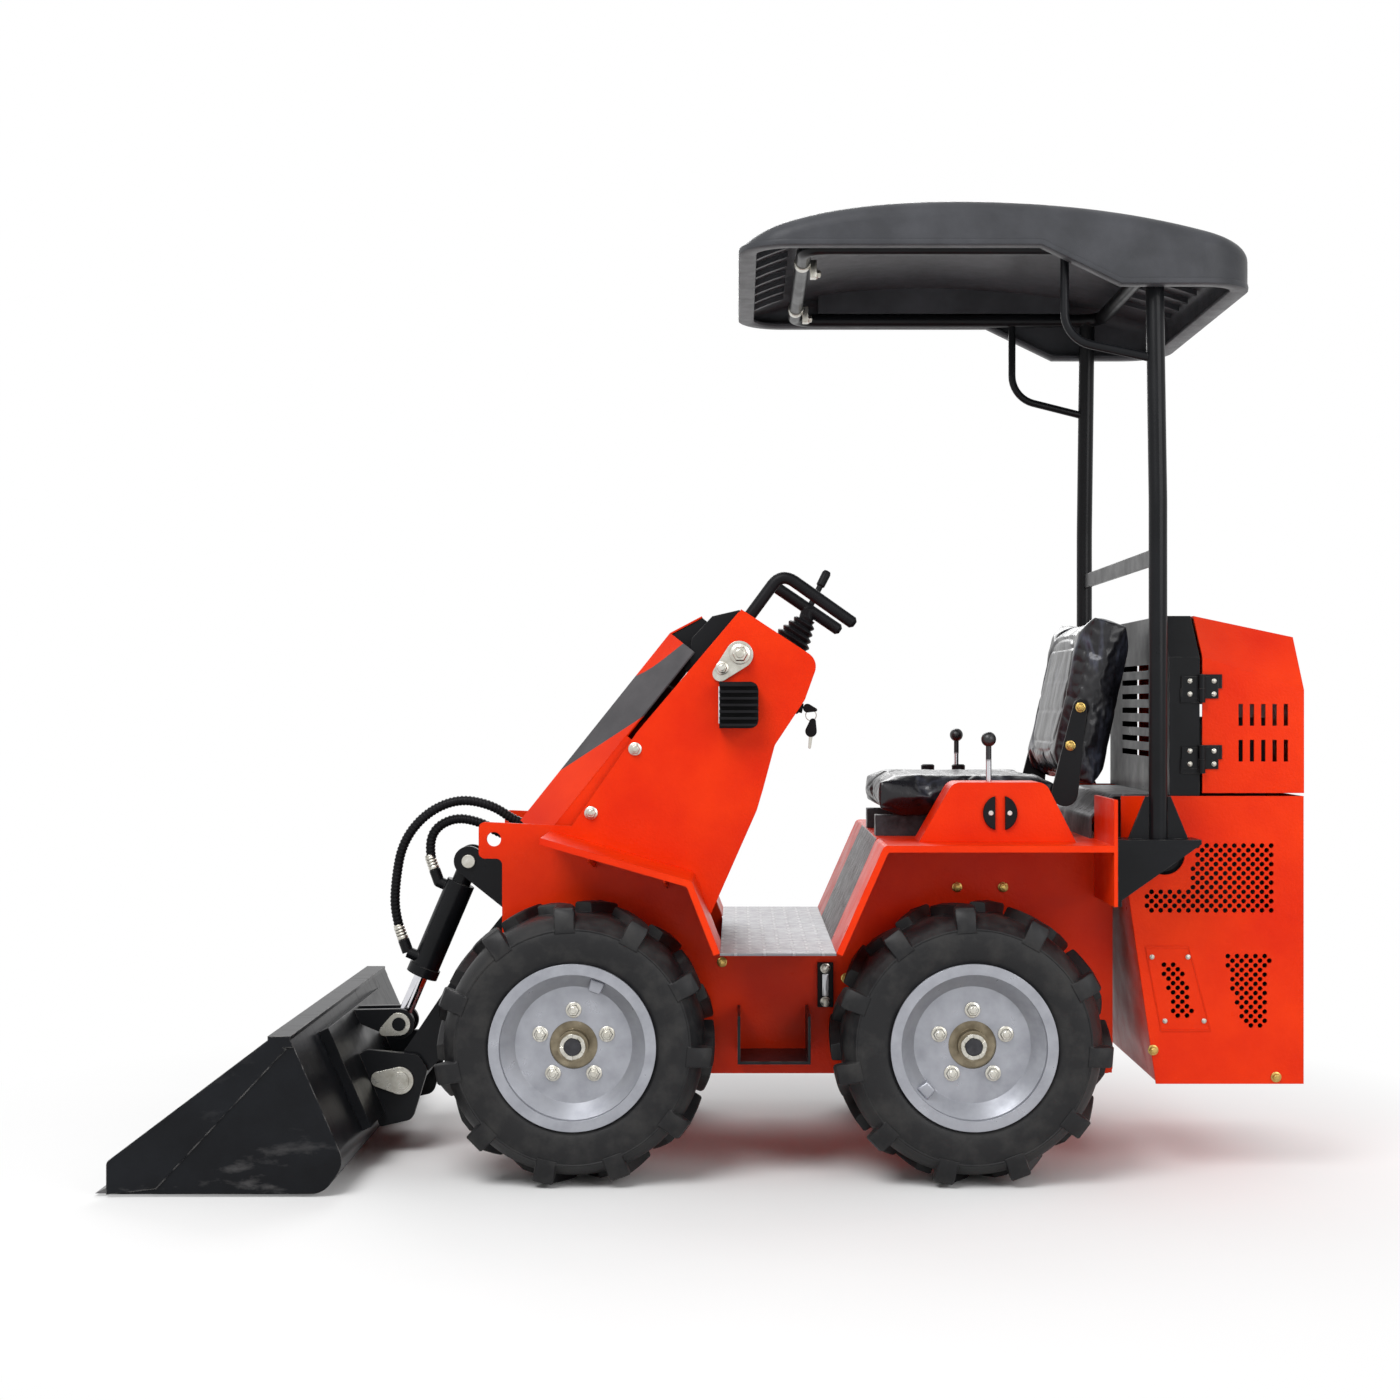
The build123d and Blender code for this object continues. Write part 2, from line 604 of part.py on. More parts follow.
# Chassis
def side_plate():
    """Left frame plate with its front lashing tab and the column cheek in one outline."""
    under = FLOOR_Z - SHEET
    deck = DECK_Z - SHEET
    corners = [((CHASSIS_FRONT_X, BELLY_Z), TAB_CORNER), ((CHASSIS_FRONT_X, TAB_LOW_Z), TAB_CORNER),
               ((TAB_FRONT_X, TAB_LOW_Z), TAB_CORNER), ((TAB_FRONT_X, TAB_TOP_Z), TAB_CORNER),
               (COLUMN_FOOT, 0.0),
               (COLUMN_BROW, COLUMN_BEND), (COLUMN_TOP_FRONT, TAB_CORNER), (COLUMN_TOP_REAR, COLUMN_CORNER),
               *[(point, COLUMN_BEND) for point in COLUMN_BACK], (COLUMN_HEEL, 0.0),
               ((FLOOR_FRONT_X, under), 0.0),
               ((FLOOR_REAR_X - SHEET, under), 0.0), ((DECK_FRONT_X - SHEET, deck), 0.0),
               ((CHASSIS_REAR_X, deck), 0.0), ((CHASSIS_REAR_X, BELLY_Z), TAB_CORNER)]
    cheek = rounded_plate([point for point, _ in corners], [radius for _, radius in corners],
                          PLATE_IN, CHASSIS_HALF)
    hole = cross_pin((TAB_HOLE_X, TAB_HOLE_Z), TAB_HOLE_RADIUS, PLATE_IN - SHEET, CHASSIS_HALF + SHEET)
    pivot = cross_pin(BOOM_PIVOT, PIN_RADIUS + SEAT_GAP, PLATE_IN - SHEET, CHASSIS_HALF + SHEET)
    return cheek - hole - pivot


def belly_pan():
    """Belly plate and front and rear cross plates between the frame plates."""
    across = (-PLATE_IN, PLATE_IN)
    pan = block((CHASSIS_REAR_X, CHASSIS_FRONT_X), across, (BELLY_Z, BELLY_Z + BELLY_PLATE))
    pan += block((CHASSIS_FRONT_X - BELLY_PLATE, CHASSIS_FRONT_X), across, (BELLY_Z, FRONT_CROSS_TOP))
    pan += block((FLOOR_REAR_X, FLOOR_REAR_X + BELLY_PLATE), across, (BELLY_Z, FLOOR_Z - SHEET))
    return pan + lift_anchor()


def lift_anchor():
    """Two lugs and a pin on the belly plate that hold the foot of the lift cylinder."""
    floor = BELLY_Z + BELLY_PLATE
    lug_in = EYE_HALF + SIDE_GAP
    foot = [(LIFT_ANCHOR[0] - LUG_FOOT / 2, floor), (LIFT_ANCHOR[0] + LUG_FOOT / 2, floor),
            (LIFT_ANCHOR[0] + LUG_EYE_RADIUS, LIFT_ANCHOR[1]),
            (LIFT_ANCHOR[0] - LUG_EYE_RADIUS, LIFT_ANCHOR[1])]
    lug = plate(foot, lug_in, lug_in + LUG_PLATE)
    lug += cross_pin(LIFT_ANCHOR, LUG_EYE_RADIUS, lug_in, lug_in + LUG_PLATE)
    pin = cross_pin(LIFT_ANCHOR, PIN_RADIUS, -lug_in - LUG_PLATE - PIN_HEAD, lug_in + LUG_PLATE + PIN_HEAD)
    left, right = both_sides(lug)
    return pin + left + right


def floor_plate():
    """Foot-well floor across the whole machine."""
    return block((FLOOR_REAR_X, FLOOR_FRONT_X), (-DECK_EDGE_Y, DECK_EDGE_Y), (FLOOR_Z - SHEET, FLOOR_Z))


def fender():
    """Left fender sheets before and behind the foot well, with ribs, lip and the post plate."""
    span = (CHASSIS_HALF, DECK_EDGE_Y)
    front_line = [(FLOOR_FRONT_X, FLOOR_Z), FENDER_KNEE, FENDER_NOSE]
    rear_line = [(FENDER_REAR_X, DECK_Z), (DECK_FRONT_X, DECK_Z), (FLOOR_REAR_X, FLOOR_Z)]
    front = folded(front_line, SHEET, *span)
    front += folded(front_line, FENDER_LIP, DECK_EDGE_Y - SHEET, DECK_EDGE_Y)
    rise = (FENDER_NOSE[1] - FENDER_KNEE[1]) / (FENDER_NOSE[0] - FENDER_KNEE[0])
    for x in RIB_XS:
        top = FENDER_KNEE[1] + (x - FENDER_KNEE[0]) * rise - SHEET
        rib = Polyline((x, CHASSIS_HALF, top), (x, RIB_Y, top), (x, RIB_Y, top - RIB_TIP_DEPTH),
                       (x, CHASSIS_HALF, top - RIB_DEPTH), close=True)
        front += extrude(make_face(rib), amount=SHEET, dir=(1, 0, 0))
    rear = folded(rear_line, SHEET, *span)
    rear += folded(rear_line, FENDER_LIP, DECK_EDGE_Y - SHEET, DECK_EDGE_Y)
    rear += block((FENDER_REAR_X - POST_PLATE, FENDER_REAR_X), (CHASSIS_HALF, DECK_EDGE_Y),
                  (POST_PLATE_LOW_Z, POST_PLATE_TOP_Z))
    return [front, rear]


def step():
    """Left bent step under the foot well, open above its tread."""
    line = [(STEP_FRONT_X, STEP_TOP_Z), (STEP_FRONT_X, STEP_Z),
            (STEP_REAR_X, STEP_Z), (STEP_REAR_X, STEP_TOP_Z)]
    return plate(line[::-1] + shifted(line, STEP_PLATE), CHASSIS_HALF, STEP_OUT_Y)


def column_shell():
    """Sheet that closes the column behind and on top, between its cheeks."""
    line = [COLUMN_HEEL, *COLUMN_BACK[::-1], COLUMN_TOP_REAR, COLUMN_TOP_FRONT]
    return folded(line, SHEET, -PLATE_IN, PLATE_IN, COLUMN_CORNER - SHEET)


def boom_pivot_pin():
    """Lift pivot through both cheeks, with a keeper plate on each side."""
    pin = cross_pin(BOOM_PIVOT, PIN_RADIUS, -CHASSIS_HALF - KEEPER_PLATE - PIN_HEAD,
                    CHASSIS_HALF + KEEPER_PLATE + PIN_HEAD)
    tail = (BOOM_PIVOT[0] + KEEPER_TAIL * cos(radians(KEEPER_TURN)),
            BOOM_PIVOT[1] + KEEPER_TAIL * sin(radians(KEEPER_TURN)))
    keeper = hull_plate([(BOOM_PIVOT, KEEPER_RADIUS), (tail, KEEPER_TAIL_RADIUS)],
                        CHASSIS_HALF, CHASSIS_HALF + KEEPER_PLATE)
    left, right = both_sides(keeper)
    return pin + left + right


def level_gauge():
    """Oil level gauge on the left frame plate beside the step."""
    return block((GAUGE_X, GAUGE_X - GAUGE_WIDTH), (CHASSIS_HALF, CHASSIS_HALF + GAUGE_DEPTH),
                 (GAUGE_Z - GAUGE_HEIGHT / 2, GAUGE_Z + GAUGE_HEIGHT / 2))


def work_lamps():
    """Finned work lamp on each column cheek, rounded towards the rear."""
    low, high = LAMP_Z - LAMP_HEIGHT / 2, LAMP_Z + LAMP_HEIGHT / 2
    front, rear = LAMP_X + LAMP_SIZE / 2, LAMP_X - LAMP_SIZE / 2
    outline = [(front, low), (rear, low), (rear, high), (front, high)]
    radii = [0.0, LAMP_CORNER, LAMP_CORNER, 0.0]
    lamp = rounded_plate(outline, radii, CHASSIS_HALF, CHASSIS_HALF + LAMP_CORE)
    whole = rounded_plate(outline, radii, CHASSIS_HALF, CHASSIS_HALF + LAMP_DEPTH)
    pitch = LAMP_HEIGHT / LAMP_FINS
    for step_no in range(LAMP_FINS):
        start = low + pitch * (step_no + (1 - FIN_SHARE) / 2)
        fin = block((rear, front), (CHASSIS_HALF, CHASSIS_HALF + LAMP_DEPTH),
                    (start, start + pitch * FIN_SHARE))
        lamp += fin & whole
    return Compound(both_sides(lamp))


def bellows():
    """Rubber bellows: rings that narrow upwards, as one turned form on the Z axis."""
    pitch = BELLOWS_HEIGHT / BELLOWS_RINGS
    shrink = (BELLOWS_FOOT_RADIUS - BELLOWS_TOP_RADIUS) / BELLOWS_RINGS
    profile = [(0.0, 0.0)]
    for ring in range(BELLOWS_RINGS):
        radius = BELLOWS_FOOT_RADIUS - shrink * ring
        profile += [(radius, pitch * ring), (radius, pitch * (ring + 0.5)),
                    (radius - shrink - BELLOWS_GROOVE, pitch * (ring + 0.75))]
    profile += [(BELLOWS_TOP_RADIUS, BELLOWS_HEIGHT), (0.0, BELLOWS_HEIGHT)]
    return revolve(make_face(Polyline(*[(x, 0, z) for x, z in profile], close=True)), Axis.Z)


def control_handle():
    """Bellows, stalk and a handle bar bent forwards at both ends, on top of the column."""
    x, z = along(COLUMN_TOP_REAR, COLUMN_TOP_FRONT, HANDLE_PLACE)
    slope = degrees(atan2(COLUMN_TOP_FRONT[1] - COLUMN_TOP_REAR[1], COLUMN_TOP_FRONT[0] - COLUMN_TOP_REAR[0]))
    grip = (x + HANDLE_GRIP[0], z + HANDLE_GRIP[1])
    tip = (x + HANDLE_FRONT[0], z + HANDLE_FRONT[1])
    handle = Pos(x, 0, z) * Rot(0, -slope, 0) * bellows()
    handle += rod((x, 0, z), (grip[0], 0, grip[1]), STALK_RADIUS)
    handle -= folded([COLUMN_TOP_REAR, COLUMN_TOP_FRONT], BELLOWS_HEIGHT, -PLATE_IN, PLATE_IN)
    bar = [(tip[0], HANDLE_HALF, tip[1]), (grip[0], HANDLE_HALF, grip[1]),
           (grip[0], -HANDLE_HALF, grip[1]), (tip[0], -HANDLE_HALF, tip[1])]
    return handle + bent_tube(bar, HANDLE_RADIUS, HANDLE_BEND)


# Seat and consoles
def seat_deck():
    """Seat platform on top of the frame plates."""
    return block((CHASSIS_REAR_X, DECK_FRONT_X), (-CHASSIS_HALF, CHASSIS_HALF), (DECK_Z - SHEET, DECK_Z))


def seat_front_panel():
    """Slanted panel between the floor and the seat platform."""
    outline = [(FLOOR_REAR_X, FLOOR_Z), (DECK_FRONT_X, DECK_Z), (DECK_FRONT_X, DECK_Z - SHEET),
               (DECK_FRONT_X - SHEET, DECK_Z - SHEET), (FLOOR_REAR_X - SHEET, FLOOR_Z - SHEET),
               (FLOOR_REAR_X, FLOOR_Z - SHEET)]
    return plate(outline, -CHASSIS_HALF, CHASSIS_HALF)


def seat_rails():
    """Two slide rails between the seat platform and the cushion."""
    rail = block((CUSHION_REAR_X, CUSHION_FRONT_X), (RAIL_Y - RAIL_HALF, RAIL_Y + RAIL_HALF),
                 (DECK_Z, CUSHION_BASE_Z - SEAT_GAP))
    return Compound(both_sides(rail))


def seat_cushion():
    """Seat cushion."""
    return block((CUSHION_REAR_X, CUSHION_FRONT_X), (-SEAT_HALF, SEAT_HALF), (CUSHION_BASE_Z, CUSHION_TOP_Z))


def seat_back():
    """Seat back, leaning to the rear."""
    return folded([BACK_TOP, BACK_FOOT], BACK_THICKNESS, -SEAT_HALF, SEAT_HALF)


def console():
    """Left console on the rear fender: a thin box open below with rounded top corners."""
    outline = [(CONSOLE_REAR_X, DECK_Z), (CONSOLE_REAR_X + CONSOLE_REAR_SLOPE, CONSOLE_TOP_Z),
               (CONSOLE_FRONT_X - CONSOLE_FRONT_SLOPE, CONSOLE_TOP_Z), (CONSOLE_FRONT_X, DECK_Z)]
    radii = [0.0, CONSOLE_CORNER, CONSOLE_CORNER, 0.0]
    box = rounded_plate(outline, radii, CONSOLE_IN_Y, CONSOLE_OUT_Y)
    hollow = [(x, z - CONSOLE_SHEET) for x, z in outline]
    hollow[0] = (hollow[0][0] + CONSOLE_SHEET, hollow[0][1])
    hollow[-1] = (hollow[-1][0] - CONSOLE_SHEET, hollow[-1][1])
    return box - rounded_plate(hollow, radii, CONSOLE_IN_Y + CONSOLE_SHEET, CONSOLE_OUT_Y - CONSOLE_SHEET)


def hand_levers():
    """A lever on each console."""
    y = (CONSOLE_IN_Y + CONSOLE_OUT_Y) / 2
    lever = rod((LEVER_X, y, CONSOLE_TOP_Z), (LEVER_X, y, CONSOLE_TOP_Z + LEVER_HEIGHT), LEVER_RADIUS)
    lever += Pos(LEVER_X, y, CONSOLE_TOP_Z + LEVER_HEIGHT) * Sphere(KNOB_RADIUS)
    return Compound(both_sides(lever))


# Engine end
def hole_wires(window, y):
    """Staggered many-sided holes whose centres lie inside a rounded window."""
    area = make_face(FilletPolyline(*[(x, y, z) for x, z in window], radius=WINDOW_CORNER, close=True))
    box = area.bounding_box()
    wires = []
    for row in range(int(box.size.Z / HOLE_PITCH[1]) + 1):
        for column in range(int(box.size.X / HOLE_PITCH[0]) + 1):
            x = box.min.X + HOLE_PITCH[0] * (column + row % 2 / 2)
            z = box.min.Z + HOLE_PITCH[1] * row
            if area.face().is_inside((x, y, z)):
                hole = Plane(origin=(x, y, z), z_dir=(0, 1, 0)) * RegularPolygon(HOLE_RADIUS, HOLE_SIDES)
                wires.append(hole.face().outer_wire())
    return wires


def rear_side():
    """Left rear side panel with a slanted front edge, three perforated windows and the intake's cut-out."""
    y = REAR_HALF
    outline = [(REAR_FOOT_X, REAR_LOW_Z), (CHASSIS_REAR_X, DECK_Z - SHEET), (CHASSIS_REAR_X, REAR_TOP_Z),
               (REAR_X, REAR_TOP_Z), (REAR_X, REAR_LOW_Z)]
    edge = FilletPolyline(*[(x, y, z) for x, z in outline],
                          radius=[0.0, 0.0, 0.0, 0.0, REAR_CORNER], close=True)
    holes = [wire for window in (WINDOW_UPPER, WINDOW_DOOR, WINDOW_LOWER) for wire in hole_wires(window, y)]
    panel = extrude(Face(Wire(edge.edges()), holes), amount=REAR_SHEET, dir=(0, -1, 0))
    return panel - cross_pin(INTAKE, INTAKE_RADIUS, y - 2 * REAR_SHEET, y + REAR_SHEET)


def air_cleaner():
    """Ribbed air cleaner on the engine's left side, seen through the panel's cut-out."""
    start = HOOD_HALF - ENGINE_SIDE_ROOM
    end = REAR_HALF - REAR_SHEET - CLEANER_GROOVE
    body = cross_pin(INTAKE, CLEANER_RADIUS - CLEANER_GROOVE, start, end)
    pitch = (end - start) / CLEANER_RIBS
    for rib in range(CLEANER_RIBS):
        body += cross_pin(INTAKE, CLEANER_RADIUS, start + pitch * (rib + 0.5), start + pitch * (rib + 1))
    return body


def rear_panel():
    """Rear wall, bottom and front step plates between the rear side panels."""
    span = (-REAR_HALF + REAR_SHEET, REAR_HALF - REAR_SHEET)
    line = [(REAR_X, REAR_TOP_Z), (REAR_X, REAR_LOW_Z), (REAR_FOOT_X, REAR_LOW_Z),
            (CHASSIS_REAR_X, DECK_Z - SHEET)]
    return folded(line, -REAR_SHEET, *span)


def rear_shelf():
    """Sloped shelf from behind the seat to the engine bulkhead."""
    line = [(BULKHEAD_FRONT_X, REAR_TOP_Z), (CHASSIS_REAR_X, REAR_TOP_Z), SHELF_FRONT,
            (SHELF_FRONT[0], DECK_Z)]
    return folded(line, SHEET, -CHASSIS_HALF, CHASSIS_HALF)


def hood_section(x, crease, top, inset):
    """Outline of the hood across the machine at one X."""
    half, top_half = HOOD_HALF - inset, HOOD_TOP_HALF - inset
    corners = [(-half, HOOD_LOW_Z), (-half, crease), (-top_half, top - inset), (top_half, top - inset),
               (half, crease), (half, HOOD_LOW_Z)]
    return make_face(Polyline(*[(x, y, z) for y, z in corners], close=True))


def bulkhead():
    """Black frame between the seat and the hood, with its opening towards the engine."""
    rear_x = BULKHEAD_FRONT_X - BULKHEAD_DEPTH
    outer = extrude(hood_section(BULKHEAD_FRONT_X, HOOD_CREASE_FRONT, HOOD_TOP_FRONT, 0.0),
                    amount=BULKHEAD_DEPTH, dir=(-1, 0, 0))
    base = block((rear_x, BULKHEAD_FRONT_X), (-HOOD_HALF, HOOD_HALF), (REAR_TOP_Z, HOOD_LOW_Z))
    inner = extrude(hood_section(BULKHEAD_FRONT_X - REAR_SHEET, HOOD_CREASE_FRONT, HOOD_TOP_FRONT,
                                 3 * REAR_SHEET),
                    amount=BULKHEAD_DEPTH, dir=(-1, 0, 0))
    frame = outer + base - inner
    for row in range(LOUVRES):
        low = LOUVRE_LOW_Z + LOUVRE_PITCH * row
        frame -= block((BULKHEAD_FRONT_X - 2 * REAR_SHEET, BULKHEAD_FRONT_X + REAR_SHEET),
                       (-LOUVRE_HALF, LOUVRE_HALF), (low, low + LOUVRE_HEIGHT))
    return frame


def hood():
    """Hood shell, open below and towards the bulkhead, with louvre slots on both sides."""
    outer = loft([hood_section(HOOD_FRONT_X, HOOD_CREASE_FRONT, HOOD_TOP_FRONT, 0.0),
                  hood_section(HOOD_REAR_X, HOOD_CREASE_REAR, HOOD_TOP_REAR, 0.0)])
    inner = loft([hood_section(HOOD_FRONT_X + HOOD_SHEET, HOOD_CREASE_FRONT, HOOD_TOP_FRONT, HOOD_SHEET),
                  hood_section(HOOD_REAR_X + HOOD_SHEET, HOOD_CREASE_REAR, HOOD_TOP_REAR, HOOD_SHEET)])
    below = block((HOOD_REAR_X + HOOD_SHEET, HOOD_FRONT_X + HOOD_SHEET),
                  (-HOOD_HALF + HOOD_SHEET, HOOD_HALF - HOOD_SHEET),
                  (HOOD_LOW_Z - HOOD_GAP, HOOD_LOW_Z + HOOD_GAP))
    shell = outer - inner - below
    for column in range(SLOT_COLUMNS):
        x = HOOD_REAR_X + SLOT_REAR_INSET + SLOT_PITCH * column
        for z in SLOT_ROWS:
            shell -= block((x, x + SLOT_WIDTH), (-HOOD_HALF - SHEET, HOOD_HALF + SHEET),
                           (z - SLOT_HEIGHT / 2, z + SLOT_HEIGHT / 2))
    return shell


def hinge_knuckle(z_from, z_to):
    """Part of a hinge barrel on the hood's swing axis."""
    return rod((HINGE_X, HINGE_Y, z_from), (HINGE_X, HINGE_Y, z_to), HINGE_RADIUS)


def hinge_leaf(x_span, z_span):
    """Flat hinge leaf with the neck that joins it to its knuckle."""
    leaf = block(x_span, (HOOD_HALF, HOOD_HALF + LEAF_PLATE), z_span)
    near = min(x_span, key=lambda x: abs(x - HINGE_X))
    return leaf + block((near, HINGE_X), (HOOD_HALF + HINGE_RADIUS / 2, HINGE_Y + HINGE_RADIUS / 2), z_span)


def hood_hinges(fixed):
    """Hinge halves at two heights: the lower knuckles are fixed, the upper ones swing."""
    halves = []
    for z in HINGE_ZS:
        low, high = z - HINGE_LENGTH / 2, z + HINGE_LENGTH / 2
        span = (low, z - SEAT_GAP / 2) if fixed else (z + SEAT_GAP / 2, high)
        reach = LEAF_LENGTH if fixed else -LEAF_LENGTH
        start = HINGE_X + (HOOD_GAP if fixed else -HOOD_GAP)
        halves.append(hinge_knuckle(*span) + hinge_leaf((start, start + reach), span))
    return Compound(halves)


def engine_block():
    """Engine and pump as one plain mass, shorter where the hood swings over it."""
    across = (-HOOD_HALF + ENGINE_SIDE_ROOM, HOOD_HALF - ENGINE_SIDE_ROOM)
    shelf = REAR_TOP_Z - HOOD_GAP
    top = min(HOOD_CREASE_REAR, HOOD_TOP_REAR) - ENGINE_TOP_ROOM
    lower = block((ENGINE_REAR_X, ENGINE_FRONT_X), across, (REAR_LOW_Z + REAR_SHEET, shelf))
    return lower + block((ENGINE_REAR_X, ENGINE_UPPER_FRONT_X), across, (shelf, top))


# Canopy
def post_bracket():
    """Left bracket that carries a canopy post behind the fender's end plate."""
    y_span = (POST_Y - POST_BASE_HALF, DECK_EDGE_Y)
    face_x = FENDER_REAR_X - POST_PLATE
    base = block((POST_BASE_REAR_X, face_x), y_span, (POST_BASE_Z - POST_BASE_PLATE, POST_BASE_Z))
    base += block((face_x - POST_PLATE, face_x), y_span, (POST_PLATE_LOW_Z, POST_BASE_Z))
    gusset = [(face_x, POST_BASE_Z - POST_BASE_PLATE), (face_x, POST_PLATE_LOW_Z + POST_PLATE),
              (POST_BASE_REAR_X, POST_BASE_Z - POST_BASE_PLATE)]
    for y in (y_span[0], y_span[1] - POST_PLATE):
        base += plate(gusset, y, y + POST_PLATE)
    web = [(POST_X - POST_WEB_FOOT, POST_BASE_Z), (POST_X + POST_WEB_FOOT, POST_BASE_Z),
           (POST_X + POST_WEB_TOP, POST_BASE_Z + POST_WEB_HEIGHT),
           (POST_X - POST_WEB_TOP, POST_BASE_Z + POST_WEB_HEIGHT)]
    base += plate(web, POST_Y - POST_PLATE / 2, POST_Y + POST_PLATE / 2)
    return base - rod((POST_X, POST_Y, POST_BASE_Z), (POST_X, POST_Y, POST_BEND_Z), POST_RADIUS + SEAT_GAP)


def bent_tube(points, radius, bend, close=False):
    """A round bar along straight runs with even bends."""
    path = FilletPolyline(*points, radius=bend, close=close)
    return sweep(Plane(origin=path @ 0, z_dir=path % 0) * Circle(radius), path=path)


def canopy_frame():
    """Two bent posts with a cross bar, braces and the loop of rail under the canopy."""
    lean = (POST_Y - POST_TOP_Y) / (RAIL_Z - POST_BEND_Z)
    post = bent_tube([(POST_X, POST_Y, POST_BASE_Z), (POST_X, POST_Y, POST_BEND_Z),
                      (POST_X, POST_TOP_Y, RAIL_Z)],
                     POST_RADIUS, POST_BEND_RADIUS)
    foot_y = POST_Y - lean * (BRACE_POST_Z - POST_BEND_Z)
    post += bent_tube([(BRACE_X, POST_TOP_Y, RAIL_Z), (BRACE_X, POST_TOP_Y, BRACE_BEND_Z),
                       (POST_X, foot_y, BRACE_POST_Z)], BRACE_RADIUS, BRACE_BEND_RADIUS)
    frame = bent_tube([(RAIL_FRONT_X, POST_TOP_Y, RAIL_Z), (RAIL_FRONT_X, -POST_TOP_Y, RAIL_Z),
                       (RAIL_REAR_X, -POST_TOP_Y, RAIL_Z), (RAIL_REAR_X, POST_TOP_Y, RAIL_Z)],
                      RAIL_TUBE, RAIL_BEND_RADIUS, close=True)
    frame += block((POST_X - CROSS_BAR_PLATE / 2, POST_X + CROSS_BAR_PLATE / 2), (-POST_Y, POST_Y),
                   (CROSS_BAR_Z - CROSS_BAR_HEIGHT / 2, CROSS_BAR_Z + CROSS_BAR_HEIGHT / 2))
    return frame.fuse(*both_sides(post))


def canopy_body(inset, floor_z):
    """Arched canopy form inside its wall by inset, down to its rim or to a flat floor."""
    front, rear = CANOPY_FRONT_X - inset, CANOPY_REAR_X + inset
    crown = [(front, CANOPY_NOSE_Z - inset), *[(x, z - inset) for x, z in CANOPY_CROWN],
             (rear, CANOPY_END_Z - inset)]
    rim = [(rear, CANOPY_TAIL_Z), (CANOPY_TAIL_X[1], CANOPY_TAIL_Z), (CANOPY_TAIL_X[0], CANOPY_RIM_Z),
           (front, CANOPY_RIM_Z)]
    low = rim if floor_z is None else [(rear, floor_z), (front, floor_z)]
    arch = Spline(*[(x, -CANOPY_HALF, z) for x, z in crown])
    sides = Polyline(*[(x, -CANOPY_HALF, z) for x, z in (crown[-1], *low, crown[0])])
    body = extrude(make_face([arch, *sides.edges()]), amount=2 * CANOPY_HALF, dir=(0, 1, 0))
    middle = (front + rear) / 2
    plan = Pos(middle, 0, 0) * RectangleRounded(front - rear, 2 * (CANOPY_HALF - inset),
                                               CANOPY_CORNER - inset)
    body = body & extrude(plan, amount=2 * CANOPY_CROWN[0][1])
    top = body.faces().sort_by(Axis.Z)[-1]
    return fillet(top.edges(), CANOPY_SHOULDER - inset)


def canopy():
    """Moulded canopy: an arched shell open below, with ceiling ribs and saddles that sit on the rails."""
    outer = canopy_body(0.0, None)
    inner = canopy_body(CANOPY_WALL, CANOPY_TAIL_Z - SHEET)
    ribs = [block(x_span, (y - CANOPY_RIB_HALF, y + CANOPY_RIB_HALF), (CANOPY_TAIL_Z, CANOPY_CROWN[1][1]))
            for x_span in CANOPY_RIB_XS
            for y in [CANOPY_RIB_PITCH * (step_no - (CANOPY_RIBS - 1) / 2) for step_no in range(CANOPY_RIBS)]]
    webs = inner - Pos(0, 0, -CANOPY_RIB_DEPTH) * inner
    shell = outer - inner
    for rib in ribs:
        shell += webs & rib
    rail_top = RAIL_Z + RAIL_TUBE + SEAT_GAP
    saddle = block(SADDLE_X, (POST_TOP_Y - SADDLE_HALF, POST_TOP_Y + SADDLE_HALF),
                   (rail_top, CANOPY_CROWN[1][1]))
    for side in both_sides(saddle & inner):
        shell += side
    return shell


# Boom and cylinders
def boom_arm():
    """Channel arm open below, with pivot tubes, lift lugs and tilt cylinder lugs."""
    outer, inner = BOOM_HALF, BOOM_HALF - BOOM_PLATE
    profile = [boom_point(0.0, BOOM_TOP), boom_point(BOOM_NECK, BOOM_TOP),
               boom_point(BOOM_LENGTH, BOOM_TIP_TOP),
               boom_point(BOOM_LENGTH, -BOOM_TIP_TOP), boom_point(BOOM_NECK, -BOOM_BELLY),
               boom_point(0.0, -BOOM_BELLY)]
    side = plate(profile, inner, outer)
    side += cross_pin(BUCKET_PIVOT, TIP_BOSS_RADIUS, inner, outer)
    side += cross_pin(BOOM_PIVOT, BOOM_BELLY, inner, outer)
    skin = [boom_point(BOOM_BELLY, BOOM_TOP), boom_point(BOOM_NECK, BOOM_TOP)]
    arm = folded(skin, BOOM_PLATE, -inner, inner)
    for half in both_sides(side):
        arm += half
    arm += cross_pin(BOOM_PIVOT, BOOM_BOSS_RADIUS, -PLATE_IN + SIDE_GAP, PLATE_IN - SIDE_GAP)
    arm += cross_pin(BUCKET_PIVOT, TIP_BOSS_RADIUS, -outer, outer)
    for lug in both_sides(tilt_lug()) + both_sides(lift_lug()):
        arm += lug
    arm -= cross_pin(BOOM_PIVOT, PIN_RADIUS + RUNNING_CLEARANCE, -CHASSIS_HALF, CHASSIS_HALF)
    return arm - cross_pin(BUCKET_PIVOT, PIN_RADIUS, -CHASSIS_HALF, CHASSIS_HALF)


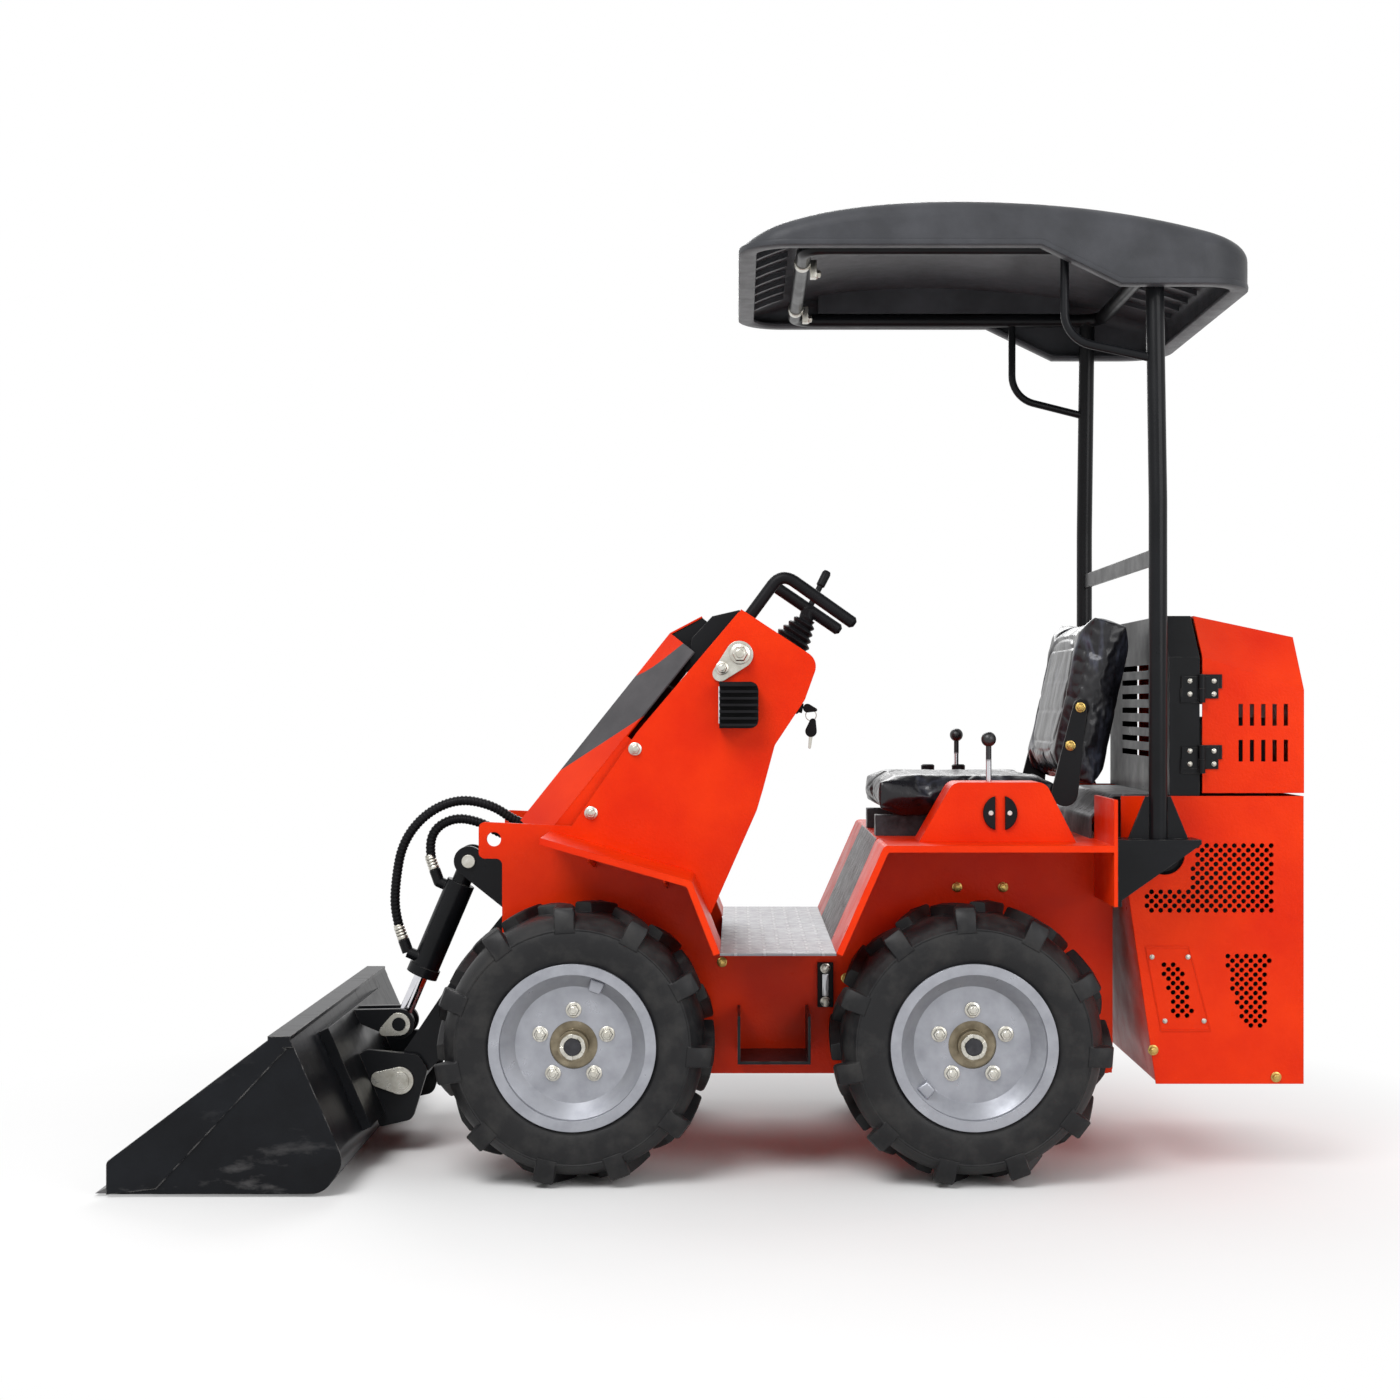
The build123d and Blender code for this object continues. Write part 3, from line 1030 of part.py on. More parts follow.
def tilt_lug():
    """Left lug on top of the arm for the tilt cylinder."""
    inner = EYE_HALF + SIDE_GAP
    offset = (TILT_ANCHOR[0] - BOOM_PIVOT[0], TILT_ANCHOR[1] - BOOM_PIVOT[1])
    turn = radians(BOOM_TURN)
    reach = offset[0] * cos(turn) + offset[1] * sin(turn)
    height = -offset[0] * sin(turn) + offset[1] * cos(turn)
    foot = BOOM_TOP - BOOM_PLATE
    outline = [boom_point(reach - LUG_FOOT, foot), boom_point(reach + LUG_EYE_RADIUS, foot),
               boom_point(reach + LUG_EYE_RADIUS, height), boom_point(reach - LUG_EYE_RADIUS, height)]
    lug = plate(outline, inner, inner + LUG_PLATE)
    lug += cross_pin(TILT_ANCHOR, LUG_EYE_RADIUS, inner, inner + LUG_PLATE)
    return lug - cross_pin(TILT_ANCHOR, SMALL_PIN_RADIUS + RUNNING_CLEARANCE,
                           inner - SHEET, inner + LUG_PLATE + SHEET)


def lift_lug():
    """Left lug under the arm's skin for the lift cylinder's rod."""
    inner = EYE_HALF + SIDE_GAP
    foot = BOOM_TOP - BOOM_PLATE
    outline = [boom_point(LIFT_ARM - LUG_FOOT / 2, foot), boom_point(LIFT_ARM + LUG_FOOT / 2, foot),
               boom_point(LIFT_ARM + LUG_EYE_RADIUS, 0.0), boom_point(LIFT_ARM - LUG_EYE_RADIUS, 0.0)]
    lug = plate(outline, inner, inner + LUG_PLATE)
    lug += cross_pin(LIFT_PIN, LUG_EYE_RADIUS, inner, inner + LUG_PLATE)
    return lug + cross_pin(LIFT_PIN, SMALL_PIN_RADIUS, inner, inner + LUG_PLATE + PIN_HEAD)


def boom_pins():
    """Tilt cylinder anchor pin and the bucket pivot pin, both held in the arm."""
    lug_out = EYE_HALF + SIDE_GAP + LUG_PLATE
    ear_out = BOOM_HALF + SIDE_GAP + EAR_PLATE
    anchor = cross_pin(TILT_ANCHOR, SMALL_PIN_RADIUS, -lug_out - PIN_HEAD, lug_out + PIN_HEAD)
    return Compound([anchor, cross_pin(BUCKET_PIVOT, PIN_RADIUS, -ear_out - PIN_HEAD, ear_out + PIN_HEAD)])


def cover_section(distance):
    """Bent section of the cover across the arm, flat in the middle and bevelled to both sides."""
    low, high = COVER_HEIGHT - COVER_DROP, COVER_HEIGHT
    outside = [(-COVER_HALF, low), (-COVER_FLAT_HALF, high), (COVER_FLAT_HALF, high), (COVER_HALF, low)]
    ring = outside + shifted(outside, COVER_SHEET)[::-1]
    corners = [(*boom_point(distance, height), y) for y, height in ring]
    return make_face(Polyline(*[(x, y, z) for x, z, y in corners], close=True))


def boom_cover():
    """Bent cover over the front of the arm, with a lip at its top and ribs that stand on the arm."""
    heading = Vector(BUCKET_PIVOT[0] - BOOM_PIVOT[0], 0, BUCKET_PIVOT[1] - BOOM_PIVOT[1])
    cover = extrude(cover_section(COVER_START), amount=COVER_END - COVER_START, dir=heading.normalized())
    lip = [boom_point(*COVER_LIP), boom_point(COVER_START, COVER_HEIGHT)]
    cover += folded(lip, COVER_SHEET, -COVER_FLAT_HALF, COVER_FLAT_HALF)
    for place in COVER_RIBS:
        rib = [boom_point(place, BOOM_TOP), boom_point(place, COVER_HEIGHT - COVER_SHEET)]
        cover += folded(rib, SHEET, -COVER_RIB_HALF, COVER_RIB_HALF)
    return cover


def hose_guide():
    """Two cheeks on the arm that the hoses pass between."""
    outline = [boom_point(GUIDE_START, BOOM_TOP), boom_point(GUIDE_START, GUIDE_HEIGHT),
               boom_point(GUIDE_END, GUIDE_HEIGHT), boom_point(GUIDE_END, BOOM_TOP)]
    inner = HOSE_OUTER_Y + HOSE_RADIUS + SIDE_GAP / 2
    return Compound(both_sides(plate(outline, inner, inner + GUIDE_PLATE)))


def cylinder_barrel(start, end, first, length, radius, eye_pin):
    """Cylinder barrel from first to length along its axis, with a narrow eye at start."""
    near = along(start, end, first)
    far = along(start, end, length)
    cap = along(start, end, length - BARREL_CAP)
    neck = along(start, end, first + BARREL_CAP)
    body = rod((near[0], 0, near[1]), (far[0], 0, far[1]), radius)
    body += rod((cap[0], 0, cap[1]), (far[0], 0, far[1]), radius + BARREL_CAP_RIM)
    body += rod((start[0], 0, start[1]), (neck[0], 0, neck[1]), EYE_HALF)
    body += cross_pin(start, EYE_RADIUS, -EYE_HALF, EYE_HALF)
    return body - cross_pin(start, eye_pin + RUNNING_CLEARANCE, -EYE_HALF - SHEET, EYE_HALF + SHEET)


def rod_bore(start, end, first, length, radius):
    """Bore that the rod slides in."""
    inner = along(start, end, first + BARREL_CAP)
    far = along(start, end, length + SHEET)
    return rod((inner[0], 0, inner[1]), (far[0], 0, far[1]), radius + RUNNING_CLEARANCE)


def cylinder_rod(start, end, first, room, radius, eye_pin):
    """Piston rod with its eye at end, reaching into the barrel with room left to draw in."""
    foot = along(start, end, first + BARREL_CAP + room)
    neck = along(end, start, EYE_RADIUS / 2)
    body = rod((foot[0], 0, foot[1]), (neck[0], 0, neck[1]), radius)
    body += cross_pin(end, EYE_RADIUS, -EYE_HALF, EYE_HALF)
    return body - cross_pin(end, eye_pin + SEAT_GAP, -EYE_HALF - SHEET, EYE_HALF + SHEET)


def lift_barrel():
    """Lift cylinder barrel on its anchor in the frame."""
    ends = (LIFT_ANCHOR, LIFT_PIN, LIFT_BARREL_START)
    barrel = cylinder_barrel(*ends, LIFT_BARREL_LENGTH, LIFT_BARREL_RADIUS, PIN_RADIUS)
    return barrel - rod_bore(*ends, LIFT_BARREL_LENGTH, LIFT_ROD_RADIUS)


def lift_rod():
    """Lift cylinder rod."""
    return cylinder_rod(LIFT_ANCHOR, LIFT_PIN, LIFT_BARREL_START, MOVING_GAP,
                        LIFT_ROD_RADIUS, SMALL_PIN_RADIUS)


def port_elbow(distance):
    """Elbow centre on the front of the tilt barrel and the end of its hose stub."""
    centre = along(TILT_ANCHOR, TILT_PIN, distance, TILT_BARREL_RADIUS + PORT_HEIGHT)
    back = atan2(TILT_ANCHOR[1] - TILT_PIN[1], TILT_ANCHOR[0] - TILT_PIN[0]) - radians(ELBOW_TURN)
    heading = (cos(back), sin(back))
    return centre, (centre[0] + heading[0] * ELBOW_LENGTH, centre[1] + heading[1] * ELBOW_LENGTH), heading


def port_distances():
    """Where the two hose ports are along the tilt barrel, inner hose first."""
    return PORT_INSET, TILT_BARREL_LENGTH - PORT_INSET / 2


def tilt_barrel():
    """Tilt cylinder barrel with two elbow ports on its front."""
    ends = (TILT_ANCHOR, TILT_PIN, TILT_BARREL_START)
    barrel = cylinder_barrel(*ends, TILT_BARREL_LENGTH, TILT_BARREL_RADIUS, SMALL_PIN_RADIUS)
    for distance, y in zip(port_distances(), (HOSE_INNER_Y, HOSE_OUTER_Y)):
        foot = along(TILT_ANCHOR, TILT_PIN, distance)
        centre, tip, _ = port_elbow(distance)
        barrel += rod((foot[0], y, foot[1]), (centre[0], y, centre[1]), PORT_RADIUS)
        barrel += Pos(centre[0], y, centre[1]) * Sphere(PORT_RADIUS)
        barrel += rod((centre[0], y, centre[1]), (tip[0], y, tip[1]), PORT_RADIUS)
    return barrel - rod_bore(*ends, TILT_BARREL_LENGTH, TILT_ROD_RADIUS)


def tilt_rod():
    """Tilt cylinder rod."""
    return cylinder_rod(TILT_ANCHOR, TILT_PIN, TILT_BARREL_START, TILT_ROD_ROOM,
                        TILT_ROD_RADIUS, SMALL_PIN_RADIUS)


# Bucket
def bucket_shell():
    """Bucket floor and back as one bent sheet, with side plates, side cutters and the top bar."""
    outer = BUCKET_HALF - CUTTER_PLATE
    inner = outer - BUCKET_SHEET
    line = [BUCKET_BACK_TOP, BUCKET_BACK_FOOT, (BUCKET_HEEL_X, BUCKET_GROUND),
            (BUCKET_TIP_X - EDGE_DEPTH, BUCKET_GROUND)]
    shell = folded(line, -BUCKET_SHEET, -inner, inner, BUCKET_BEND)
    top = (BUCKET_BACK_TOP[0] + TOP_BAR, BUCKET_BACK_TOP[1])
    front = [(CUTTER_FRONT_X, BUCKET_GROUND), (CUTTER_FRONT_X, CUTTER_FRONT_Z), top]
    bend = BUCKET_BEND + BUCKET_SHEET
    side = rounded_plate(line[:-1] + front, [0.0, bend, bend, 0.0, CUTTER_CORNER, 0.0], inner, outer)
    cutter = rounded_plate([*CUTTER_SEAM, *front], [0.0, 0.0, 0.0, CUTTER_CORNER, 0.0], outer, BUCKET_HALF)
    for piece in both_sides(side + cutter):
        shell += piece
    low = along(BUCKET_BACK_TOP, BUCKET_BACK_FOOT, 2 * BUCKET_SHEET)
    bar = [low, BUCKET_BACK_TOP, (BUCKET_BACK_TOP[0], top[1] + BUCKET_SHEET), (top[0], top[1] + BUCKET_SHEET),
           (top[0], low[1])]
    return shell + plate(bar, -BUCKET_HALF, BUCKET_HALF)


def cutting_edge():
    """Thick cutting edge along the front of the bucket floor."""
    start = BUCKET_TIP_X - EDGE_DEPTH
    inner = BUCKET_HALF - CUTTER_PLATE - BUCKET_SHEET
    outline = [(start, BUCKET_GROUND), (BUCKET_TIP_X, BUCKET_GROUND),
               (BUCKET_TIP_X - EDGE_PLATE * 2, BUCKET_GROUND + EDGE_PLATE),
               (start, BUCKET_GROUND + EDGE_PLATE)]
    return plate(outline, -inner, inner)


def frame_point(distance, depth):
    """A place behind the bucket's back, by distance up the back and depth behind it."""
    return along(BUCKET_BACK_FOOT, BUCKET_BACK_TOP, distance, depth)


def quick_attach():
    """Frame plate behind the bucket, with pivot ears and tilt cylinder lugs."""
    back = SEAT_GAP + FRAME_PLATE
    frame = plate([frame_point(FRAME_LOW, SEAT_GAP), frame_point(FRAME_HIGH, SEAT_GAP),
                   frame_point(FRAME_HIGH, back), frame_point(FRAME_LOW, back)], -FRAME_HALF, FRAME_HALF)
    web = FRAME_PLATE / 2
    high_end = (frame_point(FRAME_HIGH - web, back - web), web)
    ear_in = BOOM_HALF + SIDE_GAP
    ear = rounded_plate(EAR_OUTLINE, EAR_CORNER, ear_in, ear_in + EAR_PLATE)
    ear -= plate([frame_point(-FRAME_HIGH, SEAT_GAP), frame_point(2 * FRAME_HIGH, SEAT_GAP),
                  frame_point(2 * FRAME_HIGH, -FRAME_HIGH), frame_point(-FRAME_HIGH, -FRAME_HIGH)],
                 ear_in - SHEET, ear_in + EAR_PLATE + SHEET)
    lug_in = EYE_HALF + SIDE_GAP
    lug = hull_plate([(TILT_PIN, LUG_EYE_RADIUS), high_end], lug_in, lug_in + LUG_PLATE)
    lug += cross_pin(TILT_PIN, SMALL_PIN_RADIUS, lug_in, lug_in + LUG_PLATE + PIN_HEAD)
    for piece in both_sides(ear) + both_sides(lug):
        frame += piece
    return frame - cross_pin(BUCKET_PIVOT, PIN_RADIUS + RUNNING_CLEARANCE, -CHASSIS_HALF, CHASSIS_HALF)


def keeper(pin, tail, radii, bore, y_from):
    """Drop-shaped keeper plate around a pin's end."""
    end = (pin[0] + tail[0], pin[1] + tail[1])
    shape = hull_plate([(pin, radii[0]), (end, radii[1])], y_from, y_from + KEEPER_PLATE)
    return shape - cross_pin(pin, bore, y_from - SHEET, y_from + KEEPER_PLATE + SHEET)


def pin_keepers():
    """Keeper plates on the quick-attach frame, at its pivot and at the tilt cylinder's pin."""
    ear_out = BOOM_HALF + SIDE_GAP + EAR_PLATE
    lug_out = EYE_HALF + SIDE_GAP + LUG_PLATE
    pivot = keeper(BUCKET_PIVOT, PIVOT_KEEPER, (KEEPER_RADIUS, KEEPER_TAIL_RADIUS),
                   PIN_RADIUS + RUNNING_CLEARANCE, ear_out)
    tilt = keeper(TILT_PIN, TILT_KEEPER, (TILT_KEEPER_RADIUS, TILT_KEEPER_TAIL_RADIUS),
                  SMALL_PIN_RADIUS + SEAT_GAP, lug_out)
    return Compound(both_sides(pivot) + both_sides(tilt))


# Hoses
def bend_radii(points):
    """The largest even arcs that a route's runs allow."""
    radii = []
    for before, point, after in zip(points, points[1:], points[2:]):
        first, second = Vector(*point) - Vector(*before), Vector(*after) - Vector(*point)
        shorter = min(first.length, second.length)
        radii.append(BEND_SHARE * shorter / tan(radians(first.get_angle(second)) / 2))
    return radii


def hose(route, y, distance, end_run):
    """A hose at one Y along straight runs and tangent arcs, ending on its port's elbow."""
    _, tip, heading = port_elbow(distance)
    ends = [(tip[0] + heading[0] * reach, tip[1] + heading[1] * reach) for reach in (end_run, SEAT_GAP)]
    points = [(x, y, z) for x, z in (*route, *ends)]
    radii = bend_radii(points)
    path = FilletPolyline(*points, radius=radii)
    print("hose points", [(round(x, 1), round(z, 1)) for x, _, z in points])
    print("hose bend radii", [round(radius) for radius in radii], "length", round(path.length, 1))
    section = Plane(origin=path @ 0, z_dir=path % 0) * Circle(HOSE_RADIUS)
    return sweep(section, path=path)


def write(nodes):
    """One file for each node."""
    os.makedirs("parts", exist_ok=True)
    for name, shape in nodes.items():
        shape.label = name
        export_step(shape, f"parts/{name}.step")


def main():
    left_fender = fender()
    nodes = {
        "side_plate_left": side_plate(),
        "side_plate_right": mirror(side_plate(), about=Plane.XZ),
        "belly_pan": belly_pan(),
        "floor_plate": floor_plate(),
        "fender_left": Compound(left_fender),
        "fender_right": Compound([mirror(each, about=Plane.XZ) for each in left_fender]),
        "steps": Compound(both_sides(step())),
        "column_shell": column_shell(),
        "boom_pivot_pin": boom_pivot_pin(),
        "level_gauge": level_gauge(),
        "work_lamps": work_lamps(),
        "control_handle": control_handle(),
        "wheel_motors": wheel_motors(),
        "seat_deck": seat_deck(),
        "seat_front_panel": seat_front_panel(),
        "seat_rails": seat_rails(),
        "seat_cushion": seat_cushion(),
        "seat_back": seat_back(),
        "consoles": Compound(both_sides(console())),
        "hand_levers": hand_levers(),
        "rear_sides": Compound(both_sides(rear_side())),
        "air_cleaner": air_cleaner(),
        "rear_panel": rear_panel(),
        "rear_shelf": rear_shelf(),
        "engine_block": engine_block(),
        "bulkhead": bulkhead(),
        "hood_hinge_fixed": hood_hinges(True),
        "hood": hood(),
        "hood_hinge_moving": hood_hinges(False),
        "post_brackets": Compound(both_sides(post_bracket())),
        "canopy_frame": canopy_frame(),
        "canopy": canopy(),
        "boom_arm": boom_arm(),
        "boom_cover": boom_cover(),
        "hose_guide": hose_guide(),
        "boom_pins": boom_pins(),
        "lift_barrel": lift_barrel(),
        "lift_rod": lift_rod(),
        "tilt_barrel": tilt_barrel(),
        "tilt_rod": tilt_rod(),
        "quick_attach": quick_attach(),
        "pin_keepers": pin_keepers(),
        "bucket_shell": bucket_shell(),
        "cutting_edge": cutting_edge(),
        "hose_outer": hose(HOSE_OUTER, HOSE_OUTER_Y, port_distances()[1], HOSE_OUTER_END),
        "hose_inner": hose(HOSE_INNER, HOSE_INNER_Y, port_distances()[0], HOSE_INNER_END),
        **wheels(),
    }
    write(nodes)


main()
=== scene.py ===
import json
from math import acos, atan2, cos, floor, hypot, pi, radians, sin, tan

import bmesh
import bpy
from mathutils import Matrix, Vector, noise


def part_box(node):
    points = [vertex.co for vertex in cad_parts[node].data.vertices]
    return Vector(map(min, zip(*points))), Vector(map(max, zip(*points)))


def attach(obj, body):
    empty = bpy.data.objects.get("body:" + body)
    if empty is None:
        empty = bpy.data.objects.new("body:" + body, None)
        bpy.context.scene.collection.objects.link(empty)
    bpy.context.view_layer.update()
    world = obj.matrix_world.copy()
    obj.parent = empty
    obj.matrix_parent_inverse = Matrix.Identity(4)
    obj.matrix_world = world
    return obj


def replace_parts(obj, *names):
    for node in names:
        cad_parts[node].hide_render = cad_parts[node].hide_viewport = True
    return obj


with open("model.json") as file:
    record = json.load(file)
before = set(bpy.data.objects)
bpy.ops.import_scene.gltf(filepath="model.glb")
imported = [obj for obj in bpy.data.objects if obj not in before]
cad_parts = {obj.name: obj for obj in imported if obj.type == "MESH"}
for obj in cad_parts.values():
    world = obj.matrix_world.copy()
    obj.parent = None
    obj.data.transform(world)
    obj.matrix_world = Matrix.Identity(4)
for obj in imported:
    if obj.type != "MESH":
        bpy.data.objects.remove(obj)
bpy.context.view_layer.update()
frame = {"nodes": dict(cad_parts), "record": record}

# Places are in metres in the frame: +X forward, +Y left, +Z up. A place seen in the photograph is a
# pixel pair, which on_side() turns into X and Z on a plane across the view. A turned form is a row of
# pairs of radius and height.
LEFT = (0.0, 1.0, 0.0)
BACK = (-1.0, 0.0, 0.0)
UP = (0.0, 0.0, 1.0)

# Camera, worked out from the photograph's vanishing point
PHOTO_SIZE = 1400
PHOTO_FOCAL = 2095.0
PHOTO_AXIS = (737.0, 705.0)
CAMERA_PLACE = (-0.048, 4.8, 0.995)
SENSOR = 36.0

# Light and floor; a lamp has its name, place, target and power
WORLD_STRENGTH = 0.50
LAMPS = (("key", (1.6, 3.4, 4.6), (0.0, 0.0, 0.8), 190.0), ("fill", (-3.2, 3.8, 2.4), (-0.4, 0.0, 0.7), 72.0),
         ("rim", (0.0, -4.0, 3.6), (0.0, 0.0, 0.8), 110.0))
LAMP_SIZE = 3.0
FLOOR_COLOUR = (0.86, 0.86, 0.86, 1.0)
FLOOR_SHADE = (0.82, 0.82, 0.82, 1.0)
WHITE = (1.0, 1.0, 1.0, 1.0)
FLOOR_REACH = 14.0
FLOOR_FADE = (0.8, 2.0)

# How far a fitting is sunk into what it sits on
SUNK = 0.001

# Bolts: forms in shares of half the head's width, but the washer's foot has its heights in metres
WASHER_FOOT = ((1.25, -0.0005), (1.32, 0.0004))
WASHER_TOP = ((1.32, 0.2), (1.2, 0.28))
BOLT_HEAD = ((1.0, 0.26), (1.0, 0.86), (0.86, 1.0))
BOLT_STUD = ((0.6, 0.95), (0.5, 1.12), (0.1, 1.16))
WASHER_SIDES, HEAD_SIDES, STUD_SIDES = 20, 6, 12
SMALL_BOLT = 0.017
COLUMN_BOLT = 0.022
SCREW = 0.008

# Hose routes, as in the solids, with guard and crimps; a crimp's radii are in shares of its largest
HOSE_DIAMETER = 0.020
HOSE_OUTER_Y = 0.012
HOSE_INNER_Y = -0.012
HOSE_OUTER = ((0.402, 0.714), (0.455, 0.726), (0.508, 0.766), (0.588, 0.782), (0.664, 0.748),
              (0.716, 0.682), (0.732, 0.596), (0.7346, 0.5156), (0.7143, 0.4595))
HOSE_INNER = ((0.428, 0.682), (0.486, 0.694), (0.538, 0.726), (0.600, 0.738), (0.652, 0.708),
              (0.6582, 0.6493), (0.6468, 0.6176))
HOSE_STEPS = 16
HOSE_ROUNDNESS = 5
GUARD_PITCH = 0.0085
GUARD_RADIUS = 0.0031
GUARD_HEIGHT = 0.0014
GUARD_SIDES = 14
GUARD_POINTS = 6
CRIMP_RADIUS = 0.0125
CRIMP_RIBS = 4
CRIMP_RIB_PITCH = 0.007
CRIMP_START = ((0.86, 0.0), (1.0, 0.002))
CRIMP_RIB = ((1.0, 0.004), (1.0, 0.008), (0.9, 0.0095))
CRIMP_END = ((0.94, 0.034), (0.84, 0.036))

# Boom and its cover's bands, by distance along the boom, skewed by the height over it
BOOM_PIVOT = (-0.053, 1.104)
BUCKET_PIVOT = (0.697, 0.165)
BOOM_AHEAD = Vector((BUCKET_PIVOT[0] - BOOM_PIVOT[0], BUCKET_PIVOT[1] - BOOM_PIVOT[1])).normalized()
COVER_HEIGHT = 0.152
BAND_SKEW = 2.95
BAND_START = 0.178
BAND_END = 0.448
BAND_EDGE = 0.002
BAND_WAVE = 0.014
BAND_WAVE_LENGTH = 0.07

# Plates under the boom cover and in the column, by distance along the boom and height over it
APRON = ((0.290, 0.084), (0.587, 0.084), (0.587, 0.030), (0.290, 0.030))
APRON_Y = (0.2395, 0.2435)
CHEEK = ((0.058, 0.147), (-0.015, 0.116), (-0.015, 0.103), (0.044, 0.103), (0.050, 0.062), (0.100, 0.062),
         (0.100, 0.147))
CHEEK_Y = (0.143, 0.147)
BAFFLE = ((-0.078, 0.062), (-0.030, 0.100), (0.035, 0.105), (0.070, 0.085), (0.098, 0.050), (0.062, 0.042),
          (-0.020, 0.052), (-0.070, 0.035))
BAFFLE_Y = (0.200, 0.204)

# Tyres: half a section as radius and distance from the middle; lugs as distance, tip and root
TYRE_STEPS = 96
TYRE_HALF = ((0.1558, 0.0985), (0.1722, 0.0985), (0.1742, 0.1000), (0.1810, 0.1040), (0.1910, 0.1066),
             (0.2045, 0.1078), (0.2160, 0.1079), (0.2280, 0.1070), (0.2362, 0.1054), (0.2398, 0.1042),
             (0.2412, 0.1056), (0.2438, 0.1050), (0.2452, 0.1026), (0.2520, 0.0958), (0.2600, 0.0850),
             (0.2665, 0.0730), (0.2702, 0.0580), (0.2712, 0.0300))
TYRE_SMOOTH = 32.0
LUG_COUNT = 11
LUG_PHASE = radians(167.35)
LUG_SLANT = radians(33.0)
LUG_KNEE = 0.064
LUG_TIP = 0.292
LUG_WIDE = 0.044
LUG_NARROW = 0.033
LUG_FLARE = 0.004
LUG_ROUND = 0.003
LUG_RINGS = ((0.1070, 0.2450, 0.236), (0.1046, 0.2610, 0.238), (0.0990, 0.2780, 0.244),
             (0.0920, 0.2868, 0.252), (0.0780, 0.2905, 0.260), (0.0640, 0.2918, 0.264),
             (0.0400, 0.2920, 0.266), (0.0150, 0.2920, 0.266), (-0.0100, 0.2914, 0.266))

# Wheel fittings; a nut's slots and teeth take turns
DISC_DEPTH = 0.044
WHEEL_BOLTS = 5
BOLT_CIRCLE = 0.0725
BOLT_WIDTH = 0.025
NUT_TEETH = 6
NUT_RADII = (0.0265, 0.0185)
NUT_HEIGHTS = (0.006, 0.011)
VALVE_RADII = (0.119, 0.146)
VALVE_HALF_TURN = 0.11
VALVE_HEIGHT = 0.026
VALVE_ROUND = 0.004
VALVE_ROUND_STEPS = 3
VALVE_TURNS = {"front_left": -0.37, "rear_left": 2.32, "front_right": 1.2, "rear_right": -2.0}

# Seat: filling, then the sewn panel of each pad by its foot, its top and the way it faces
SEAT_VOXEL = 0.006
SEAT_FRAMES = 20
SEAT_PRESSURE = 4.0
SEAT_CAP = 0.022
SEAT_START = 0.955
ALL_SMOOTH = 180.0
SEAT_PANEL = ((-0.745, 0.0, 0.842), (-0.354, 0.0, 0.842), (0.0, 0.0, 1.0))
BACK_PANEL = ((-0.742, 0.0, 0.843), (-0.828, 0.0, 1.186), (0.97, 0.0, 0.243))
PANEL_HALF = 0.245
PANEL_POWER = 4
SEAM_RING = 0.74
SEAM_REACH = 0.035
SEAM_DEPTH = 0.006
CHANNELS = 5
CHANNEL_FIELD = 0.72
CHANNEL_REACH = 0.06
CHANNEL_DEPTH = 0.005
SLACK_SCALE = 26.0
SLACK_DEPTH = 0.0016
RECLINER = ((1065.0, 793.0, 0.029), (1080.5, 706.0, 0.015))
RECLINER_BOLTS = ((1080.4, 707.4), (1070.4, 745.6))
RECLINER_Y = (0.2455, 0.2535)

# Rear side panels, as in the solids but with the real fine holes
REAR_OUTLINE = ((-0.936, 0.192), (-0.862, 0.701), (-0.862, 0.802), (-1.249, 0.802), (-1.249, 0.192))
REAR_Y = 0.360
REAR_SHEET = 0.005
WINDOW_UPPER = ((-1.012, 0.711), (-1.190, 0.711), (-1.190, 0.550), (-0.904, 0.550), (-0.904, 0.611),
                (-1.000, 0.611))
WINDOW_DOOR = ((-0.934, 0.459), (-0.997, 0.459), (-1.031, 0.327), (-0.966, 0.327))
WINDOW_LOWER = ((-1.065, 0.476), (-1.186, 0.476), (-1.184, 0.306), (-1.112, 0.306))
WINDOW_INSET = 0.004
DOOR_RIM = ((-0.912, 0.484), (-1.006, 0.484), (-1.053, 0.303), (-0.946, 0.303))
HOLE_RADIUS = 0.0053
HOLE_PITCH = (0.0195, 0.0098)
HOLE_SIDES = 10
INTAKE = (-0.955, 0.677)
INTAKE_RADIUS = 0.042
INTAKE_SIDES = 48
SEAM_WIDTH = 0.0045
SEAM_RISE = 0.0016
SHEET_SMOOTH = 30.0

# Bolts and hinge leaves by the pixels where the photograph shows them. A hinge has rows for a leaf's top, its
# screws and its bottom, and columns for a leaf's left, its screws and its right.
PLATE_Y = 0.260
COLUMN_BOLTS = ((635.0, 749.0), (591.0, 813.0))
CHASSIS_BOLTS = ((957.0, 887.0), (1003.0, 887.0), (722.0, 962.0), (846.0, 978.0))
REAR_BOLTS = ((1153.0, 1050.0), (1276.0, 1077.0))
DOOR_BOLTS = ((1152.0, 957.0), (1188.0, 957.0), (1165.0, 1021.0), (1204.0, 1021.0))
KEEPER_BOLTS = ((740.0, 654.0, 0.034), (722.0, 668.0, 0.022))
HINGE_ROWS = ((676.0, 681.0, 694.0, 698.5), (746.5, 751.0, 764.0, 769.0))
HINGE_FIXED = (1181.5, 1190.0, 1198.5)
HINGE_MOVING = (1202.0, 1214.0, 1218.5)
HINGE_LEAF_Y = (0.3515, 0.3565)
BUCKET_BOLT = (209.0, 1106.0)
BUCKET_BOLT_SINK = 0.0103

